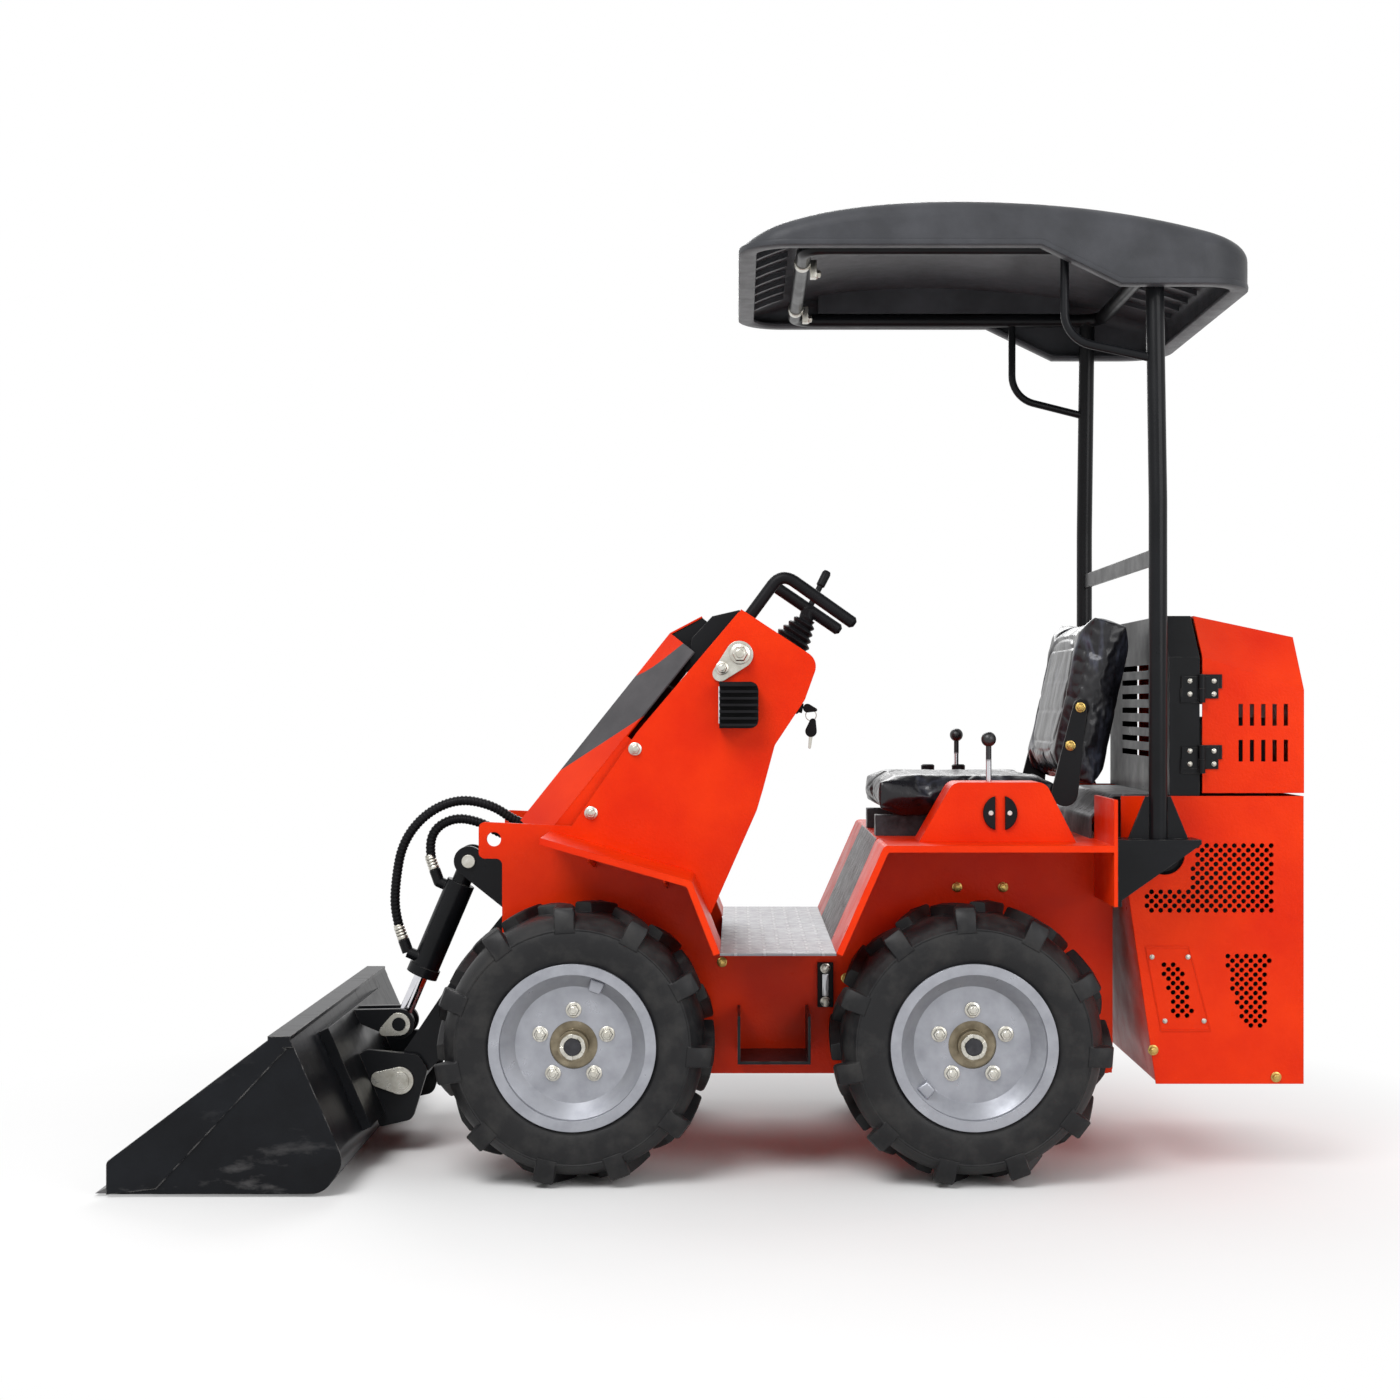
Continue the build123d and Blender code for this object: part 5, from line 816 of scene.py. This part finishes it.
def crimps(name, points):
    """Pressed steel sleeves at both ends of a hose."""
    ribs = [(share, rise + rib * CRIMP_RIB_PITCH) for rib in range(CRIMP_RIBS) for share, rise in CRIMP_RIB]
    form = [(CRIMP_RADIUS * share, rise) for share, rise in (*CRIMP_START, *ribs, *CRIMP_END)]
    maker = Maker()
    maker.turned(points[0], points[1] - points[0], form)
    maker.turned(points[-1], points[-2] - points[-1], form)
    return maker.done(name, "tilt_barrel", "zinc_steel")


def hose(word, route, y):
    """A hose along its route, as a smooth round cord with its guard and its crimped ends."""
    curve = cord_curve(f"cord_{word}", route, y)
    curve.bevel_depth = HOSE_DIAMETER / 2
    curve.bevel_resolution = HOSE_ROUNDNESS
    curve.use_fill_caps = True
    curve.materials.append(MATERIALS["hose_guard"])
    cord = placed(f"cord_{word}", curve)
    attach(cord, "tilt_barrel")
    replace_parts(cord, f"hose_{word}")
    points = cord_points(route, y)
    dressing = [spiral_guard(f"guard_{word}", points), crimps(f"crimps_{word}", points)]


# Wheels
def wheel_centre(word):
    """The middle of a wheel, from its tyre's box."""
    low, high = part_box(f"tyre_{word}")
    return tuple((a + b) / 2 for a, b in zip(low, high))


def wheel_point(centre, side, radius, turn, across):
    """A place on a wheel by radius, angle from the top and distance towards its outer side."""
    return (centre[0] + side * radius * sin(turn), centre[1] + side * across, centre[2] + radius * cos(turn))


def lug_rings(centre, side, turn, hand):
    """The skin of one lug from its foot on the sidewall to past the tyre's middle."""
    rings = []
    for across, top, root in LUG_RINGS:
        half = (LUG_WIDE if across > LUG_KNEE else LUG_NARROW) / 2
        middle = max(0.0, LUG_KNEE - across) * tan(LUG_SLANT)
        rising = ((-half - LUG_FLARE, root), (-half, top - LUG_ROUND), (LUG_ROUND - half, top))
        section = rising + tuple((-offset, radius) for offset, radius in rising[::-1])
        rings.append([wheel_point(centre, side, radius, turn + (offset + middle) / LUG_TIP, hand * across)
                      for offset, radius in section])
    return rings


def tyre_skin(word, side):
    """A tyre with bulged sidewalls, a moulded ring and both rows of lugs."""
    centre = wheel_centre(word)
    section = TYRE_HALF + tuple((radius, -across) for radius, across in TYRE_HALF[::-1])
    maker = Maker()
    maker.rings([[wheel_point(centre, side, radius, turn, across) for radius, across in section]
                 for turn in even_turns(TYRE_STEPS)], closed=True)
    for lug in range(LUG_COUNT):
        for row, hand in ((0.0, 1), (0.5, -1)):
            maker.rings(lug_rings(centre, side, LUG_PHASE + 2 * pi * (lug + row) / LUG_COUNT, hand))
    skin = maker.done(f"tyre_skin_{word}", f"wheel_{word}", "tyre_rubber", smooth=TYRE_SMOOTH)
    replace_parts(skin, f"tyre_{word}")


def castle_nut(maker, centre, y, side):
    """A slotted nut round the spindle's end."""
    for step in range(2 * NUT_TEETH):
        turns = [pi * (step + share) / NUT_TEETH for share in (0.0, 0.5, 1.0)]
        arc = [(NUT_RADII[0], turn) for turn in turns] + [(NUT_RADII[1], turn) for turn in turns[::-1]]
        maker.rings([[(centre[0] + radius * cos(turn), y + side * rise, centre[2] + radius * sin(turn))
                      for radius, turn in arc] for rise in (-SUNK, NUT_HEIGHTS[step % 2])])


def valve_guard(word, side, centre, face):
    """The block that guards a wheel's valve."""
    low, high = VALVE_RADII
    first, last = VALVE_TURNS[word] - VALVE_HALF_TURN, VALVE_TURNS[word] + VALVE_HALF_TURN
    corners = ((low, first), (high, first), (high, last), (low, last))
    foot = [wheel_point(centre, side, radius, turn, 0.0) for radius, turn in corners]
    guard = Maker()
    guard.rings([[(x, face + side * rise, z) for x, _, z in foot] for rise in (-SUNK, VALVE_HEIGHT)])
    guard.soften(guard.shape.edges[:], VALVE_ROUND, VALVE_ROUND_STEPS)
    guard.done(f"valve_guard_{word}", f"wheel_{word}", "rim_silver")


def wheel_fittings(word, side):
    """Wheel bolts, castle nut and valve guard of one wheel."""
    centre = wheel_centre(word)
    end = 1 if side > 0 else 0
    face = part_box(f"rim_{word}")[end][1] - side * DISC_DEPTH
    bright = Maker()
    for turn in even_turns(WHEEL_BOLTS):
        x, _, z = wheel_point(centre, side, BOLT_CIRCLE, turn, 0.0)
        bright.bolt((x, face, z), (0.0, side, 0.0), BOLT_WIDTH)
    castle_nut(bright, centre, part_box(f"hub_{word}")[end][1], side)
    bright.done(f"wheel_bolts_{word}", f"wheel_{word}", "zinc_steel")
    valve_guard(word, side, centre, face)


# Seat
def worked_mesh(piece):
    """A piece's mesh as its modifiers leave it."""
    return bpy.data.meshes.new_from_object(piece.evaluated_get(bpy.context.evaluated_depsgraph_get()))


def blow_up(piece):
    """Fills a pad with air under its skin, no point moving further than the cap."""
    scene = bpy.context.scene
    rest = [vertex.co.copy() for vertex in piece.data.vertices]
    cloth = piece.modifiers.new("cloth", "CLOTH")
    cloth.settings.use_pressure = True
    cloth.settings.uniform_pressure_force = SEAT_PRESSURE
    cloth.settings.effector_weights.gravity = 0.0
    cloth.point_cache.frame_end = SEAT_FRAMES
    for step in range(1, SEAT_FRAMES + 1):
        scene.frame_set(step)
    full = worked_mesh(piece)
    for vertex, start in zip(full.vertices, rest):
        move = vertex.co - start
        if move.length > SEAT_CAP:
            vertex.co = start + move.normalized() * SEAT_CAP
    piece.modifiers.clear()
    piece.data = full
    scene.frame_set(1)


def even_pad(name, node, middle):
    """A pad's solid, drawn in a little and meshed evenly, as an object of its own."""
    pad = placed(name, frame["nodes"][node].data.copy())
    for vertex in pad.data.vertices:
        vertex.co = middle + (vertex.co - middle) * SEAT_START
    remesh = pad.modifiers.new("remesh", "REMESH")
    remesh.mode = "VOXEL"
    remesh.voxel_size = SEAT_VOXEL
    mesh = worked_mesh(pad)
    pad.modifiers.clear()
    pad.data = mesh
    return pad


def fit_box(mesh, low, high):
    """Stretches a mesh so that it fills a box."""
    lows = [min(vertex.co[axis] for vertex in mesh.vertices) for axis in range(3)]
    highs = [max(vertex.co[axis] for vertex in mesh.vertices) for axis in range(3)]
    for vertex in mesh.vertices:
        shares = [(value - start) / (end - start) for value, start, end in zip(vertex.co, lows, highs)]
        vertex.co = [start + share * (end - start) for share, start, end in zip(shares, low, high)]


def sew(mesh, foot, top, facing):
    """Presses a panel seam, cross channels and slack creases into the face that looks one way."""
    run = Vector(top) - Vector(foot)
    for vertex in mesh.vertices:
        share = (vertex.co - Vector(foot)).dot(run) / run.length_squared
        aside = vertex.co.y / PANEL_HALF
        ring = (abs(2 * share - 1) ** PANEL_POWER + abs(aside) ** PANEL_POWER) ** (1 / PANEL_POWER)
        groove = SEAM_DEPTH * max(0.0, 1.0 - abs(ring - SEAM_RING) / SEAM_REACH)
        if ring < CHANNEL_FIELD:
            channel = abs((share * CHANNELS + 0.5) % 1.0 - 0.5)
            groove += CHANNEL_DEPTH * max(0.0, 1.0 - channel / CHANNEL_REACH)
        slack = SLACK_DEPTH * noise.noise(vertex.co * SLACK_SCALE)
        front = max(0.0, vertex.normal.dot(facing))
        vertex.co -= facing * groove * front - vertex.normal * slack


def cushion(name, node, foot, top, facing):
    """A filled seat pad in place of its solid."""
    low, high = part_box(node)
    pad = even_pad(name, node, (Vector(low) + Vector(high)) / 2)
    blow_up(pad)
    mesh = pad.data
    bpy.data.objects.remove(pad)
    fit_box(mesh, low, high)
    sew(mesh, foot, top, Vector(facing).normalized())
    piece = to_piece(name, mesh, "chassis", "seat_vinyl", smooth=ALL_SMOOTH)
    piece.modifiers.new("smooth", "SUBSURF").render_levels = 1
    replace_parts(piece, node)


def recliner():
    """The seat's side brackets with their gold bolts."""
    y = RECLINER_Y[1]
    (*low, low_radius), (*high, high_radius) = RECLINER
    bracket = Maker()
    bracket.plate(strap_outline(on_side(low, y), low_radius, on_side(high, y), high_radius), *RECLINER_Y)
    bracket.mirrored()
    bracket.done("recliner_brackets", "chassis", "black_paint")
    bolts_on_side("recliner_bolts", "chassis", y, RECLINER_BOLTS, SMALL_BOLT, GOLD_ZINC)


# Rear panels
def flat_sheet(outlines, y, thickness):
    """A sheet in X and Z with holes: the first outline less the others, its outer face at y."""
    curve = bpy.data.curves.new("sheet", "CURVE")
    curve.dimensions = "2D"
    curve.fill_mode = "BOTH"
    curve.extrude = thickness / 2
    for outline in outlines:
        spline = curve.splines.new("POLY")
        spline.points.add(len(outline) - 1)
        for point, (x, z) in zip(spline.points, outline):
            point.co = (x, z, 0.0, 1.0)
        spline.use_cyclic_u = True
    holder = bpy.data.objects.new("sheet", curve)
    mesh = bpy.data.meshes.new_from_object(holder)
    bpy.data.objects.remove(holder)
    for vertex in mesh.vertices:
        x, z, depth = vertex.co
        vertex.co = (x, y - thickness / 2 + depth, z)
    return mesh


def ring_of(centre, radius, sides):
    """A many-sided outline round a point."""
    return [(centre[0] + radius * cos(turn), centre[1] + radius * sin(turn)) for turn in even_turns(sides)]


def well_inside(point, outline, margin):
    """True if a point lies inside an outline and no nearer to it than the margin."""
    spot = Vector(point)
    inside = False
    for start, end in zip(outline, outline[1:] + outline[:1]):
        run = Vector(end) - Vector(start)
        share = max(0.0, min(1.0, (spot - Vector(start)).dot(run) / run.length_squared))
        if (spot - Vector(start) - run * share).length < margin:
            return False
        if (start[1] > spot.y) != (end[1] > spot.y):
            inside ^= spot.x < start[0] + run.x * (spot.y - start[1]) / run.y
    return inside


def holes_in(window):
    """Staggered round holes that fill a window."""
    xs, zs = [x for x, _ in window], [z for _, z in window]
    holes = []
    for row in range(floor((max(zs) - min(zs)) / HOLE_PITCH[1]) + 1):
        for column in range(floor((max(xs) - min(xs)) / HOLE_PITCH[0]) + 1):
            spot = (min(xs) + HOLE_PITCH[0] * (column + row % 2 / 2), min(zs) + HOLE_PITCH[1] * row)
            if well_inside(spot, window, HOLE_RADIUS + WINDOW_INSET):
                holes.append(ring_of(spot, HOLE_RADIUS, HOLE_SIDES))
    return holes


def red_sheets(name, outlines, y, thickness):
    """A red sheet on the left side and its mirror image, as one piece."""
    maker = Maker()
    maker.shape.from_mesh(flat_sheet(outlines, y, thickness))
    maker.mirrored()
    return maker.done(name, "chassis", "red_paint", smooth=SHEET_SMOOTH)


def rear_sheets():
    """Finely perforated rear side panels, with the raised rim of the service door."""
    holes = [hole for window in (WINDOW_UPPER, WINDOW_DOOR, WINDOW_LOWER) for hole in holes_in(window)]
    intake = ring_of(INTAKE, INTAKE_RADIUS, INTAKE_SIDES)
    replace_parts(red_sheets("rear_sheets", [REAR_OUTLINE, intake, *holes], REAR_Y, REAR_SHEET), "rear_sides")
    red_sheets("door_rims", [DOOR_RIM, shrunk(DOOR_RIM, SEAM_WIDTH)], REAR_Y + SEAM_RISE, SEAM_RISE * 2)


# Fittings
def bolts_on_side(name, body, y, pixels, width, material=None):
    """Bolts on both sides of the machine, at pixels of the photograph."""
    maker = Maker()
    maker.bolts_at(pixels, y, width)
    maker.mirrored()
    maker.done(name, body, "zinc_steel", material)


def hinge_leaves(word, body, columns):
    """The hood's hinge leaves on one body, each with two small screws."""
    left, middle, right = columns
    y = HINGE_LEAF_Y[1]
    plates, screws = Maker(), Maker()
    for top, *between, bottom in HINGE_ROWS:
        corners = ((left, top), (right, top), (right, bottom), (left, bottom))
        plates.plate([on_side(corner, y) for corner in corners], *HINGE_LEAF_Y)
        screws.bolts_at([(middle, row) for row in between], y, SCREW)
    plates.done("hinge_leaves_" + word, body, "black_paint")
    screws.done("hinge_screws_" + word, body, "zinc_steel")


def keeper_bolts():
    """Bolt heads on the boom pivot's keepers."""
    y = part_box("boom_pivot_pin")[1][1]
    maker = Maker()
    for *pixel, width in KEEPER_BOLTS:
        maker.bolts_at([pixel], y, width)
    maker.mirrored()
    maker.done("keeper_bolts", "chassis", "zinc_steel")


def bar_rings(path, radius, sides=20):
    """Rings along a bar that lies in a plane of X and Z, rounded at both ends."""
    across = Vector(LEFT)
    between = zip([path[0], *path], path, [*path[1:], path[-1]])
    spots = [(path[0], path[1] - path[0], share) for share in GRIP_ROUND]
    spots += [(here, after - before, 1.0) for before, here, after in between]
    spots += [(path[-1], path[-1] - path[-2], share) for share in GRIP_ROUND[::-1]]
    rings = []
    for number, (place, run, share) in enumerate(spots):
        ahead = run.normalized()
        push = (1.0 - share) * radius * (-1.0 if number < len(GRIP_ROUND) else 1.0)
        outward = [across * cos(turn) + across.cross(ahead) * sin(turn) for turn in even_turns(sides)]
        rings.append([place + ahead * push + out * radius * share for out in outward])
    return rings


def bent_bar(start, corner, end, bend, steps=8):
    """A bar's path that turns one corner in a curve."""
    first = corner + (start - corner).normalized() * bend
    last = corner + (end - corner).normalized() * bend
    shares = [step / steps for step in range(steps + 1)]
    curve = [first.lerp(corner, share).lerp(corner.lerp(last, share), share) for share in shares]
    return [start, *curve, end]


def bellows_form():
    """The turned form of the control lever's bellows."""
    wide, narrow = BELLOWS_RADII
    form = [(wide, 0.0)]
    for ring in range(BELLOWS_RINGS):
        radius = wide + (narrow - wide) * ring / (BELLOWS_RINGS - 1)
        form += [(radius + bulge, BELLOWS_PITCH * ring + rise) for bulge, rise in BELLOWS_FOLD]
    return [*form, (narrow + BELLOWS_NECK[0], BELLOWS_PITCH * BELLOWS_RINGS + BELLOWS_NECK[1])]


def control_grip():
    """Bellows, stalk, grip and thumb knob of the control lever, with the fixed grab bar beside it."""
    (rear_x, rear_z), (front_x, front_z) = COLUMN_TOP
    ahead = Vector((front_x - rear_x, 0.0, front_z - rear_z)).normalized()
    up = Vector((-ahead.z, 0.0, ahead.x))
    foot = Vector((rear_x, 0.0, rear_z)) + ahead * BELLOWS_PLACE
    grip = Maker()
    grip.turned(foot, up, bellows_form(), BELLOWS_SIDES)
    front, rear = places_on(GRIP_ENDS, 0.0)
    grip.rings(bar_rings([foot + up * BELLOWS_PITCH * BELLOWS_RINGS, front.lerp(rear, 0.5)], STALK_RADIUS))
    grip.rings(bar_rings([front, rear], GRIP_RADIUS))
    low, high = [Vector(place) for place in THUMB_KNOB]
    grip.turned(low, high - low, THUMB_FORM)
    points = places_on(GRAB_BAR, GRAB_Y)
    points[0] += (points[0] - points[1]).normalized() * GRIP_RADIUS
    grip.rings(bar_rings(bent_bar(*points, GRAB_BEND), GRIP_RADIUS))
    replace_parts(grip.done("control_grip", "chassis", "black_plastic"), "control_handle")


def cover_plates():
    """Red aprons under the boom cover's flanks, dark cheeks under its lip and baffles in the column."""
    for name, body, outline, depth, slot in (("cover_aprons", "boom", APRON, APRON_Y, "red_paint"),
                                             ("cover_cheeks", "boom", CHEEK, CHEEK_Y, "black_paint"),
                                             ("column_baffles", "chassis", BAFFLE, BAFFLE_Y, "black_paint")):
        plates = Maker()
        plates.plate([boom_place(*place) for place in outline], *depth)
        plates.mirrored()
        plates.done(name, body, slot)


def console_fittings():
    """Split switch discs on the consoles' sides, with pale screws, and knobs on the right console."""
    x, z = on_side(CONSOLE_DISC, CONSOLE_Y)
    face = CONSOLE_Y + CONSOLE_DISC_DEPTH
    shares = [2 * step / CONSOLE_DISC_STEPS - 1 for step in range(CONSOLE_DISC_STEPS + 1)]
    turns = [CONSOLE_DISC_TURN * share for share in shares]
    reach = CONSOLE_DISC_RADIUS - CONSOLE_DISC_GAP
    discs, screws = Maker(), Maker()
    for side in (1, -1):
        half = [(x + side * (CONSOLE_DISC_GAP + reach * cos(turn)), z + CONSOLE_DISC_RADIUS * sin(turn))
                for turn in turns]
        discs.plate(half, CONSOLE_Y - SUNK, face, CONSOLE_DISC_ROUND)
        screws.turned((x + side * CONSOLE_DISC_RADIUS * CONSOLE_SCREW_SHARE, face, z), LEFT, CONSOLE_SCREW,
                      CONSOLE_SCREW_SIDES)
    discs.mirrored()
    screws.mirrored()
    for place in CONSOLE_KNOBS:
        discs.turned((*place, CONSOLE_TOP_Z - SUNK), UP, KNOB_FORM)
    discs.done("console_discs", "chassis", "black_plastic")
    screws.done("console_screws", "chassis", "zinc_steel", WHITE_SCREW)


def lamp_glasses():
    """Glass on the front of each work lamp, inside its rim."""
    low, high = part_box("work_lamps")
    start, end = [PLATE_Y + (high[1] - PLATE_Y) * share for share in LENS_SPAN]
    glass = Maker()
    glass.slab((high[0] + LENS_FRONT[0], start, low[2] + LENS_MARGIN),
               (high[0] + LENS_FRONT[1], end, high[2] - LENS_MARGIN), LENS_ROUND)
    glass.mirrored()
    glass.done("lamp_glasses", "chassis", "zinc_steel", LAMP_GLASS)


def gauge_glass():
    """The level gauge's window between two bolts."""
    low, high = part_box("level_gauge")
    middle = (low[0] + high[0]) / 2
    glass = Maker()
    glass.slab((middle - GAUGE_HALF, high[1] + GAUGE_FRONT[0], low[2] + GAUGE_MARGIN),
               (middle + GAUGE_HALF, high[1] + GAUGE_FRONT[1], high[2] - GAUGE_MARGIN))
    glass.done("gauge_glass", "chassis", "zinc_steel", LAMP_GLASS)
    bolts = Maker()
    for z in (low[2] + GAUGE_BOLT_MARGIN, high[2] - GAUGE_BOLT_MARGIN):
        bolts.bolt((middle, high[1], z), LEFT, SMALL_BOLT)
    bolts.done("gauge_bolts", "chassis", "zinc_steel")


def key_strap(maker, circles, half, soft=0.001):
    """A flat strap round two circles, in the plane of the key."""
    x, y, z = KEY_PLACE
    (x_1, z_1, radius_1), (x_2, z_2, radius_2) = circles
    outline = strap_outline((x + x_1, z + z_1), radius_1, (x + x_2, z + z_2), radius_2)
    maker.plate(outline, y - half, y + half, soft)


def ignition_key():
    """Switch, key and a spare key hanging from its ring at the back of the column."""
    x, y, z = KEY_PLACE
    switch = Maker()
    switch.turned((x + SWITCH_FOOT, y, z), SWITCH_AXIS, SWITCH_FORM)
    key_strap(switch, KEY_BOW, KEY_BOW_HALF)
    key_strap(switch, SPARE_BOW, SPARE_BOW_HALF)
    switch.done("ignition_switch", "chassis", "black_plastic")
    ring = Maker()
    centre = (x + KEY_RING[0], z + KEY_RING[1])
    loops = []
    for lean in even_turns(KEY_RING_SIDES):
        loop = ring_of(centre, KEY_RING_RADIUS + KEY_RING_WIRE * cos(lean), KEY_RING_STEPS)
        loops.append([(loop_x, y + KEY_RING_WIRE * sin(lean), loop_z) for loop_x, loop_z in loop])
    ring.rings(zip(*loops), closed=True)
    key_strap(ring, SPARE_BLADE, SPARE_BLADE_HALF, SPARE_BLADE_ROUND)
    ring.done("key_ring", "chassis", "zinc_steel")


def rim_height(x):
    """Height of the canopy's rim, which drops towards the rear."""
    share = (x - RIM_KINKS[0]) / (RIM_KINKS[1] - RIM_KINKS[0])
    return RIM_HEIGHTS[0] + (RIM_HEIGHTS[1] - RIM_HEIGHTS[0]) * min(1.0, max(0.0, share))


def rim_path():
    """Places round the canopy's rim with the way outwards: four corners, and kinks on the long sides."""
    ahead, behind = CANOPY_FRONT - CANOPY_CORNER, CANOPY_REAR + CANOPY_CORNER
    aside = CANOPY_HALF - CANOPY_CORNER
    path = []
    for quarter, (x, y) in enumerate(((ahead, aside), (behind, aside), (behind, -aside), (ahead, -aside))):
        for step in range(LIP_STEPS + 1):
            turn = pi / 2 * (quarter + step / LIP_STEPS)
            out = Vector((cos(turn), sin(turn), 0.0))
            path.append((Vector((x, y, 0.0)) + out * CANOPY_CORNER, out))
        if quarter in (0, 2):
            side = 1.0 - quarter
            kinks = RIM_KINKS if quarter == 0 else RIM_KINKS[::-1]
            path += [(Vector((kink, side * CANOPY_HALF, 0.0)), Vector((0.0, side, 0.0))) for kink in kinks]
    return path


def canopy_lip():
    """A rolled lip all round the canopy's rim."""
    rings = []
    for place, out in rim_path():
        base = rim_height(place.x)
        rings.append([place - out * inward + Vector((0.0, 0.0, base + rise)) for inward, rise in LIP_SECTION])
    lip = Maker()
    lip.rings(rings, closed=True)
    lip.done("canopy_lip", "chassis", "black_plastic", OWN_FINISH["canopy"])


def canopy_clamps():
    """Bright clamps that hold the canopy to the frame's front bar."""
    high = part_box("canopy_frame")[1]
    x, z = high[0] - CLAMP_INSET, high[2] - CLAMP_INSET
    (pad_rear, pad_low), (pad_front, pad_high) = CLAMP_PAD
    maker = Maker()
    maker.turned((x, CLAMP_Y, z), LEFT, CLAMP_FORM, CLAMP_SIDES)
    maker.slab((x + pad_rear, CLAMP_Y, z + pad_low), (x + pad_front, CLAMP_Y + CLAMP_WIDTH, z + pad_high))
    maker.bolt((x + pad_rear, CLAMP_Y + CLAMP_WIDTH / 2, z - CLAMP_BOLT_DROP), BACK, SMALL_BOLT)
    maker.mirrored()
    maker.done("canopy_clamps", "chassis", "zinc_steel")


def add_fittings():
    """All bolts and small fittings."""
    bolts_on_side("column_bolts", "chassis", PLATE_Y, COLUMN_BOLTS, COLUMN_BOLT)
    bolts_on_side("chassis_bolts", "chassis", PLATE_Y, CHASSIS_BOLTS, SMALL_BOLT, GOLD_ZINC)
    bolts_on_side("rear_bolts", "chassis", REAR_Y, REAR_BOLTS, SMALL_BOLT, GOLD_ZINC)
    bolts_on_side("door_bolts", "chassis", REAR_Y + SEAM_RISE, DOOR_BOLTS, SCREW)
    bucket_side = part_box("bucket_shell")[1][1] - BUCKET_BOLT_SINK
    bolts_on_side("bucket_bolts", "bucket", bucket_side, [BUCKET_BOLT], SMALL_BOLT)
    hinge_leaves("fixed", "chassis", HINGE_FIXED)
    hinge_leaves("moving", "hood", HINGE_MOVING)
    keeper_bolts()
    control_grip()
    cover_plates()
    console_fittings()
    lamp_glasses()
    gauge_glass()
    ignition_key()
    canopy_clamps()
    canopy_lip()


# Stage
def add_camera():
    """The photograph's own viewpoint, level and looking across the machine."""
    data = bpy.data.cameras.new("camera")
    data.sensor_width = SENSOR
    data.lens = PHOTO_FOCAL / PHOTO_SIZE * SENSOR
    data.shift_x = (PHOTO_SIZE / 2 - PHOTO_AXIS[0]) / PHOTO_SIZE
    data.shift_y = (PHOTO_AXIS[1] - PHOTO_SIZE / 2) / PHOTO_SIZE
    camera = placed("camera", data)
    camera.location = CAMERA_PLACE
    camera.rotation_euler = (pi / 2, 0.0, pi)
    bpy.context.scene.camera = camera


def add_lamp(name, place, target, power):
    """A large soft lamp that points at a target."""
    data = bpy.data.lights.new(name, "AREA")
    data.shape = "DISK"
    data.size = LAMP_SIZE
    data.energy = power
    lamp = placed(name, data)
    lamp.location = place
    lamp.rotation_euler = (Vector(target) - Vector(place)).to_track_quat("-Z", "Y").to_euler()


def seen_share(tree):
    """1 for what the camera, a gloss or a glass sees, 0 for light that falls on things."""
    path = tree.nodes.new("ShaderNodeLightPath")
    total = path.outputs["Is Camera Ray"]
    for name in ("Is Glossy Ray", "Is Transmission Ray"):
        largest = tree.nodes.new("ShaderNodeMath")
        largest.operation = "MAXIMUM"
        tree.links.new(total, largest.inputs[0])
        tree.links.new(path.outputs[name], largest.inputs[1])
        total = largest.outputs[0]
    return total


def add_world():
    """Even light from all round, with a white background."""
    world = bpy.data.worlds.new("studio")
    bpy.context.scene.world = world
    world.use_nodes = True
    tree = world.node_tree
    strength = tree.nodes.new("ShaderNodeMapRange")
    tree.links.new(seen_share(tree), strength.inputs["Value"])
    strength.inputs["To Min"].default_value = WORLD_STRENGTH
    strength.inputs["To Max"].default_value = 1.0
    background = tree.nodes["Background"]
    background.inputs["Color"].default_value = WHITE
    tree.links.new(strength.outputs["Result"], background.inputs["Strength"])


def add_floor():
    """A wide pale floor that turns white away from the machine."""
    skin = Surface("floor")
    skin.finish(Base_Color=skin.mix(skin.noise(2.0), FLOOR_COLOUR, FLOOR_SHADE), Roughness=0.9)
    distance = skin.add("ShaderNodeVectorMath", {0: skin.place}, operation="LENGTH").outputs["Value"]
    share = skin.math("MULTIPLY", skin.ramp(distance, *FLOOR_FADE), seen_share(skin.tree))
    white = skin.add("ShaderNodeEmission", {"Color": WHITE, "Strength": 1.0}).outputs[0]
    blend = skin.add("ShaderNodeMixShader", {0: share, 1: skin.shader.outputs[0], 2: white})
    skin.tree.links.new(blend.outputs[0], skin.tree.nodes["Material Output"].inputs["Surface"])
    mesh = bpy.data.meshes.new("floor")
    corners = [(sx * FLOOR_REACH, sy * FLOOR_REACH, 0.0) for sx, sy in ((-1, -1), (1, -1), (1, 1), (-1, 1))]
    mesh.from_pydata(corners, [], [(0, 1, 2, 3)])
    mesh.materials.append(skin.material)
    placed("floor", mesh)


bpy.context.scene.view_settings.view_transform = "Standard"
add_camera()
add_world()
add_floor()
for lamp in LAMPS:
    add_lamp(*lamp)
dress_solids()
hose("outer", HOSE_OUTER, HOSE_OUTER_Y)
hose("inner", HOSE_INNER, HOSE_INNER_Y)
for word in VALVE_TURNS:
    wheel_side = 1 if word.endswith("left") else -1
    tyre_skin(word, wheel_side)
    wheel_fittings(word, wheel_side)
cushion("seat_pad", "seat_cushion", *SEAT_PANEL)
cushion("back_pad", "seat_back", *BACK_PANEL)
recliner()
rear_sheets()
add_fittings()
